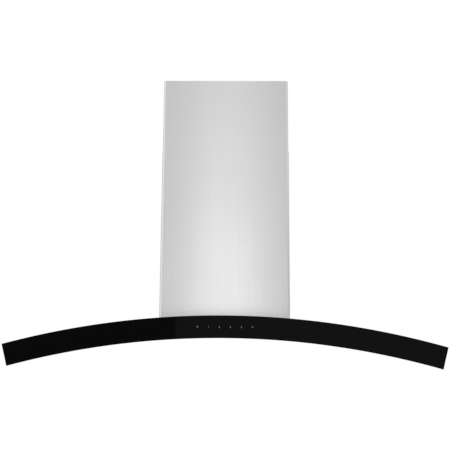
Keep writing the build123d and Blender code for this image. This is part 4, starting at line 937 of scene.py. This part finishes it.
class HOOD_OT_filters(Operator):
    """Make the filter frames, their two rows of baffles and the leaf springs."""

    bl_idname = "range_hood.filters"
    bl_label = "Filters"

    def execute(self, context):
        for side in SIDES:
            dressed(side + "_filter_frame", side + "_filter_rails")
            self.leaf_spring(side)
            self.baffles(side, "lower", 0.0)
            self.baffles(side, "upper", math.pi)
        return {"FINISHED"}

    def leaf_spring(self, side):
        """The bowed spring behind one latch."""
        spring = dressed(side + "_latch_spring", side + "_leaf_spring")
        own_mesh(spring)

    def baffles(self, side, row, turn):
        """One row of baffles in one filter; the upper row is turned over."""
        node = f"{side}_{row}_baffles"
        low, high = arch_box(node)
        size = sizes()
        count = round((high.x - low.x - size.slat_width) / size.slat_pitch) + 1
        mesh = slat_row(node, count, high.y - low.y, finish_for("filter_steel"))
        seat = Vector((0, low.y, high.z if turn else low.z))
        mesh.transform(on_arch(arch_angle(node)) @ Matrix.Translation(seat) @ Matrix.Rotation(turn, 4, "Y"))
        stand_in(f"{side}_{row}_slats", smoothed(joined(mesh)), node)


class HOOD_OT_latches(Operator):
    """Make the filter latches with grip ribs on their finger pulls."""

    bl_idname = "range_hood.latches"
    bl_label = "Latches"

    def execute(self, context):
        for side in SIDES:
            node = side + "_latch"
            shape = merged_copy(node)
            self.ribs(shape, node)
            stand_in(side + "_latch_slide", smoothed(mesh_of(shape)), node, sizes().edge / 2)
        return {"FINISHED"}

    def ribs(self, shape, node):
        """Grip ribs under the finger pull, along its width."""
        spot = on_arch(arch_angle(node))
        back = spot.inverted()
        local = [back @ vertex.co for vertex in shape.verts]
        bottom = min(point.z for point in local)
        level_tolerance, rib_height = 0.1 * MILLIMETRE, 0.7 * MILLIMETRE
        foot = [point for point in local if point.z < bottom + level_tolerance]
        front, rear = min(point.y for point in foot), max(point.y for point in foot)
        depth = rear - front
        width = max(point.x for point in foot) - min(point.x for point in foot)
        rib_width, rib_depth = 0.86 * width, 0.18 * depth
        size = Matrix.Diagonal((rib_width, rib_depth, rib_height, 1.0))
        for share in (0.2, 0.5, 0.8):
            rib = Matrix.Translation((0, front + depth * share, bottom))
            bmesh.ops.create_cube(shape, size=1.0, matrix=spot @ rib @ size)


# Radius and height along a lamp cover's outline, as shares of its radius and of its dome.
LENS_DOME = ((0.0, -1.0), (0.35, -0.88), (0.65, -0.58), (0.88, -0.22), (0.97, 0.0), (1.0, 0.3))


class HOOD_OT_lamps(Operator):
    """Make the lamps: bezel, frosted cover, board and diodes."""

    bl_idname = "range_hood.lamps"
    bl_label = "Lamps"

    def execute(self, context):
        for side in SIDES:
            self.housing(side)
            self.lens(side)
            self.board(side)
        return {"FINISHED"}

    def seat(self, node):
        """The lowest place of a lamp's part on the lamp's axis, and the part's size in its turned frame."""
        low, high = arch_box(node)
        return on_arch(arch_angle(node), (low.y + high.y) / 2, low.z), high - low

    def housing(self, side):
        """The can with its rounded bezel."""
        node = side + "_lamp_housing"
        spot, size = self.seat(node)
        lens_size = self.seat(side + "_lamp_lens")[1]
        clearance, lip, wall, bezel, chamfer = [value * MILLIMETRE for value in (0.1, 0.8, 2.0, 1.4, 0.6)]
        rim, tall = size.y / 2, size.z
        opening = lens_size.y / 2 + clearance
        can = opening + wall
        profile = [(opening, lip / 2)]
        profile += arc_points(opening + lip / 2, lip / 2, lip / 2, 180, 270, 3)
        profile += arc_points(rim - bezel, bezel, bezel, 270, 360, 6)
        profile += [(rim, wall), (can, wall), (can, tall - chamfer), (can - chamfer, tall)]
        profile += [(0.0, tall), (0.0, tall - wall), (opening, tall - wall)]
        stand_in(side + "_lamp_can", turned(profile, LAMP_STEPS, spot), node)

    def lens(self, side):
        """The slightly domed cover."""
        node = side + "_lamp_lens"
        spot, size = self.seat(node)
        radius, thick, dome = size.y / 2, size.z, 0.9 * MILLIMETRE
        profile = [(share * radius, level * dome) for share, level in LENS_DOME]
        profile += [(radius, thick), (0.0, thick)]
        stand_in(side + "_lamp_cover", turned(profile, LAMP_STEPS, spot), node)

    def board(self, side):
        """The board and its ring of diodes."""
        node = side + "_led_board"
        dressed(node, side + "_lamp_board")
        spot, size = self.seat(node)
        ring_radius = 0.62 * size.y / 2
        diode, edge = 3.5 * MILLIMETRE, 0.2 * MILLIMETRE
        mesh = diode_ring(side + "_diodes", ring_radius, diode, finish_for("diode"))
        mesh.transform(spot)
        softened(place(side + "_lamp_diodes", mesh, "lamp_lens", "hood", "diode"), edge)


class HOOD_OT_screws(Operator):
    """Set every screw with its cross recess on its seat."""

    bl_idname = "range_hood.screws"
    bl_label = "Screws"

    def execute(self, context):
        screw = linked("screw_pattern", cross_head_screw())
        for node in SCREW_FACING:
            stand_in(node + "_heads", smoothed(screw_set(node, screw)), node)
        bpy.data.objects.remove(screw)
        return {"FINISHED"}


class HOOD_OT_blower(Operator):
    """Make the scroll, its inlet and outlet, the motor and the box round them."""

    bl_idname = "range_hood.blower"
    bl_label = "Blower"

    def execute(self, context):
        sheets = ("scroll_housing", "scroll_front_plate", "outlet_transition", "blower_box", "blower_cover")
        for node in sheets:
            dressed(node, node + "_sheet")
        edge = sizes().edge
        dressed("motor_bracket", "motor_three_arm_bracket", edge / 2)
        dressed("motor_bushes", "motor_rubber_bushes", edge)
        dressed("motor_body", "motor_stack_and_bells", edge)
        self.inlet()
        return {"FINISHED"}

    def inlet(self):
        """The bell-mouthed inlet ring."""
        node = "front_inlet_ring"
        low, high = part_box(node)
        rim, tall = (high.x - low.x) / 2, high.y - low.y
        throat_inset, mouth_inset, bell, lip = [value * MILLIMETRE for value in (9.0, 3.2, 5.4, 1.0)]
        throat = rim - throat_inset
        profile = [(throat, 0.0)]
        profile += arc_points(throat + bell, tall - bell, bell, 180, 90, 8)
        profile += [(rim - mouth_inset, tall)]
        profile += arc_points(rim - lip, tall - lip, lip, 90, 0, 3)
        profile += [(rim, 0.0)]
        spot = Matrix.Translation((middle(node).x, high.y, middle(node).z))
        spot = spot @ Matrix.Rotation(QUARTER_TURN, 4, "X")
        stand_in("inlet_bell_mouth", turned(profile, WHEEL_STEPS, spot), node)


class HOOD_OT_wheel(Operator):
    """Make the double-inlet wheel with its forward-curved blades, and its shaft."""

    bl_idname = "range_hood.wheel"
    bl_label = "Wheel"

    def execute(self, context):
        low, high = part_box("impeller")
        outer, half = (high.x - low.x) / 2, (high.y - low.y) / 2
        inner = outer - sizes().blade_depth
        ring = 2.0 * MILLIMETRE
        blades = blade_ring("wheel_blades", inner, outer, 2 * (half - ring), finish_for("galvanised_steel"))
        mesh = joined(blades, *self.rings(inner, outer, half, ring), self.hub_and_disc(inner, outer))
        mesh.transform(Matrix.Translation(middle("impeller")) @ Matrix.Rotation(QUARTER_TURN, 4, "X"))
        stand_in("wheel_with_blades", smoothed(mesh), "impeller")
        dressed("motor_shaft", "motor_ground_shaft", sizes().edge)
        return {"FINISHED"}

    def rings(self, inner, outer, half, ring):
        """The end rings, each with a rolled outer edge."""
        middle_radius = (inner + outer) / 2
        profile = [(middle_radius, 0.0), (middle_radius, ring)]
        profile += arc_points(outer - ring / 2, ring / 2, ring / 2, 90, -90, 6)
        spots = [Matrix.Translation((0, 0, level)) for level in (half - ring, -half)]
        return [turned(profile, WHEEL_STEPS, spot) for spot in spots]

    def hub_and_disc(self, inner, outer):
        """The flat disc on its hub, bored for the shaft."""
        low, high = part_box("motor_shaft")
        bore, edge = (high.x - low.x) / 2, (inner + outer) / 2
        hub, hub_half, disc, fillet, chamfer = [value * MILLIMETRE for value in (10.0, 11.0, 0.75, 3.0, 1.0)]
        profile = [(bore, hub_half), (hub - chamfer, hub_half), (hub, hub_half - chamfer)]
        profile += arc_points(hub + fillet, disc + fillet, fillet, 180, 270, 5)
        profile += [(edge, disc), (edge, -disc)]
        profile += arc_points(hub + fillet, -disc - fillet, fillet, 90, 180, 5)
        profile += [(hub, chamfer - hub_half), (hub - chamfer, -hub_half), (bore, -hub_half)]
        return turned(profile, WHEEL_STEPS, Matrix.Identity(4))


class HOOD_OT_duct(Operator):
    """Make the duct collar and its two back-draught flaps."""

    bl_idname = "range_hood.duct"
    bl_label = "Duct"

    def execute(self, context):
        dressed("duct_collar", "duct_collar_moulding")
        for row in ("front", "rear"):
            dressed(row + "_damper_flap", row + "_flap_moulding")
        return {"FINISHED"}


class HOOD_OT_controls(Operator):
    """Make the touch control, the control box and its cable and gland."""

    bl_idname = "range_hood.controls"
    bl_label = "Controls"

    def execute(self, context):
        dressed("touch_pads", "touch_sensor_pads")
        dressed("touch_board", "touch_circuit_board")
        dressed("touch_carrier", "touch_board_carrier")
        dressed("control_cable", "control_cable_run")
        dressed("cable_grommet", "cable_rubber_grommet")
        dressed("control_box", "control_box_moulding")
        dressed("control_box_lid", "control_box_cover", sizes().edge)
        dressed("cable_gland", "supply_gland_moulding")
        return {"FINISHED"}


class HOOD_OT_brackets(Operator):
    """Make the wall bracket and the chimney bracket."""

    bl_idname = "range_hood.brackets"
    bl_label = "Brackets"

    def execute(self, context):
        dressed("wall_bracket", "wall_hook_plate")
        dressed("chimney_bracket", "chimney_wall_bar")
        return {"FINISHED"}


# Level, height and share of the power of each panel in the strip of lamps.
STRIP_PANELS = ((-0.35, 0.4, 0.30), (0.15, 0.6, 0.29), (0.70, 0.5, 0.17), (1.45, 1.0, 0.24))
STRIP_WIDTH = 0.35
STRIP_DEPTH = -2.5
FLOOR_MIDDLE = -0.3
FLOOR_REACH = 3.0
FLOOR_CELLS = 12
STEEL = ("lower_chimney_cover", "upper_chimney_cover", "canopy_folded_shell")
CHIMNEY = STEEL[:2]
GLASS = ("front_glass_strip", "touch_mark_print")
# Name, place, aim, width, height and power setting of the single lamps, and what each one lights, if not all.
LAMPS = (
    ("left_lamp", (-1.46, -1.24, 0.45), (-0.15, -0.29, 0.15), 2.35, 1.9, "left_light", CHIMNEY),
    ("right_lamp", (1.46, -1.24, 1.1), (0.15, -0.29, 0.25), 2.35, 1.8, "right_light", CHIMNEY),
    ("glass_lamp", (0.42, -2.4, -0.30), (0.2, -0.48, -0.22), 1.37, 0.5, "glass_light", GLASS),
    ("top_lamp", (-0.5, -0.9, 2.4), (0.0, -0.25, 0.0), 1.8, 1.8, "top_light", ()),
)


class HOOD_OT_stage(Operator):
    """Set up the floor, the lamps, the surround and the camera, after the pieces that the lamps name."""

    bl_idname = "range_hood.stage"
    bl_label = "Stage"

    def execute(self, context):
        self.floor()
        self.surround()
        self.lamps()
        self.camera()
        context.scene.view_settings.view_transform = "Standard"
        return {"FINISHED"}

    def floor(self):
        """A pale floor at its real distance under the hood."""
        spot = Matrix.Translation((0, FLOOR_MIDDLE, settings().stage.floor_level))
        shape = bmesh.new()
        bmesh.ops.create_grid(
            shape, x_segments=FLOOR_CELLS, y_segments=FLOOR_CELLS, size=FLOOR_REACH, matrix=spot,
        )
        mesh = mesh_of(shape)
        mesh.materials.append(finish_for("studio_floor"))
        linked("studio_floor", mesh)

    def surround(self):
        """A surround that is white to the eye, in metal and through glass, and a softer sky elsewhere."""
        world = bpy.data.worlds.new("studio_surround")
        bpy.context.scene.world = world
        world.use_nodes = True
        world.node_tree.nodes.clear()
        nodes = Nodes(world.node_tree)
        rays = nodes.add("ShaderNodeLightPath").outputs
        seen = rays["Is Camera Ray"]
        for kind in ("Is Glossy Ray", "Is Transmission Ray"):
            seen = nodes.math("MAXIMUM", seen, rays[kind])
        strength = nodes.flow("ShaderNodeMapRange", Value=seen, To_Min=settings().stage.sky, To_Max=1.0)
        sky = nodes.flow("ShaderNodeBackground", Color=(1.0, 1.0, 1.0, 1.0), Strength=strength)
        nodes.add("ShaderNodeOutputWorld", Surface=sky)

    def lamp(self, name, spot, aim, width, height, watts, only):
        """One soft rectangular lamp, for the whole scene or for the named pieces only."""
        light = bpy.data.lights.new(name, "AREA")
        light.shape = "RECTANGLE"
        light.size, light.size_y, light.energy = width, height, watts
        lamp = linked(name, light)
        lamp.location = spot
        lamp.rotation_euler = (Vector(aim) - Vector(spot)).to_track_quat("-Z", "Y").to_euler()
        lamp.visible_camera = False
        if only:
            receivers = bpy.data.collections.new(name + "_receivers")
            for piece in only:
                receivers.objects.link(bpy.data.objects[piece])
            lamp.light_linking.receiver_collection = receivers

    def lamps(self):
        """The graded strip of lamps in front of the chimney, and the single ones."""
        stage = settings().stage
        for row, (level, height, share) in enumerate(STRIP_PANELS, 1):
            spot, aim = (0.0, STRIP_DEPTH, level), (0.0, -0.29, 0.05 + 0.3 * level)
            self.lamp(f"strip_panel_{row}", spot, aim, STRIP_WIDTH, height, share * stage.strip_light, STEEL)
        for name, spot, aim, width, height, setting, only in LAMPS:
            self.lamp(name, spot, aim, width, height, getattr(stage, setting), only)

    def camera(self):
        """The camera at the photograph's place, level with the glass and looking up."""
        stage = settings().stage
        pitch, yaw, roll = stage.camera_turn
        lens = bpy.data.cameras.new("photo_camera")
        lens.lens, lens.shift_x, lens.sensor_fit = stage.camera_lens, stage.camera_shift, "HORIZONTAL"
        camera = linked("photo_camera", lens)
        turn = Matrix.Rotation(-yaw, 4, "Z") @ Matrix.Rotation(QUARTER_TURN + pitch, 4, "X")
        camera.matrix_world = Matrix.Translation(stage.camera_place) @ turn @ Matrix.Rotation(roll, 4, "Z")
        bpy.context.scene.camera = camera


OPERATORS = (
    HOOD_OT_chimney, HOOD_OT_front_glass, HOOD_OT_touch_marks, HOOD_OT_canopy,
    HOOD_OT_filters, HOOD_OT_latches, HOOD_OT_lamps, HOOD_OT_screws, HOOD_OT_blower,
    HOOD_OT_wheel, HOOD_OT_duct, HOOD_OT_controls, HOOD_OT_brackets,
    HOOD_OT_stage,
)


class HOOD_PT_panel(Panel):
    """The hood's operators and settings."""

    bl_idname = "HOOD_PT_panel"
    bl_label = "Range Hood"
    bl_space_type = "VIEW_3D"
    bl_region_type = "UI"
    bl_category = "Range Hood"

    def draw(self, context):
        for operator in OPERATORS:
            self.layout.operator(operator.bl_idname)
        hood = context.scene.range_hood
        for group in (hood.sizes, hood.colours, hood.stage):
            box = self.layout.box()
            for name in group.bl_rna.properties.keys():
                if name not in ("rna_type", "name"):
                    box.prop(group, name)


CLASSES = (HoodSizes, HoodColours, HoodStage, HoodSettings) + OPERATORS + (HOOD_PT_panel,)


def register():
    """Registers the add-on's classes and its settings."""
    for item in CLASSES:
        bpy.utils.register_class(item)
    bpy.types.Scene.range_hood = PointerProperty(type=HoodSettings)


def unregister():
    """Removes the add-on's settings and classes."""
    del bpy.types.Scene.range_hood
    for item in reversed(CLASSES):
        bpy.utils.unregister_class(item)


def main():
    """Registers the add-on, then makes every piece in order."""
    register()
    for operator in OPERATORS:
        group, name = operator.bl_idname.split(".")
        getattr(getattr(bpy.ops, group), name)()
    bpy.context.view_layer.update()


if __name__ == "__main__":
    main()
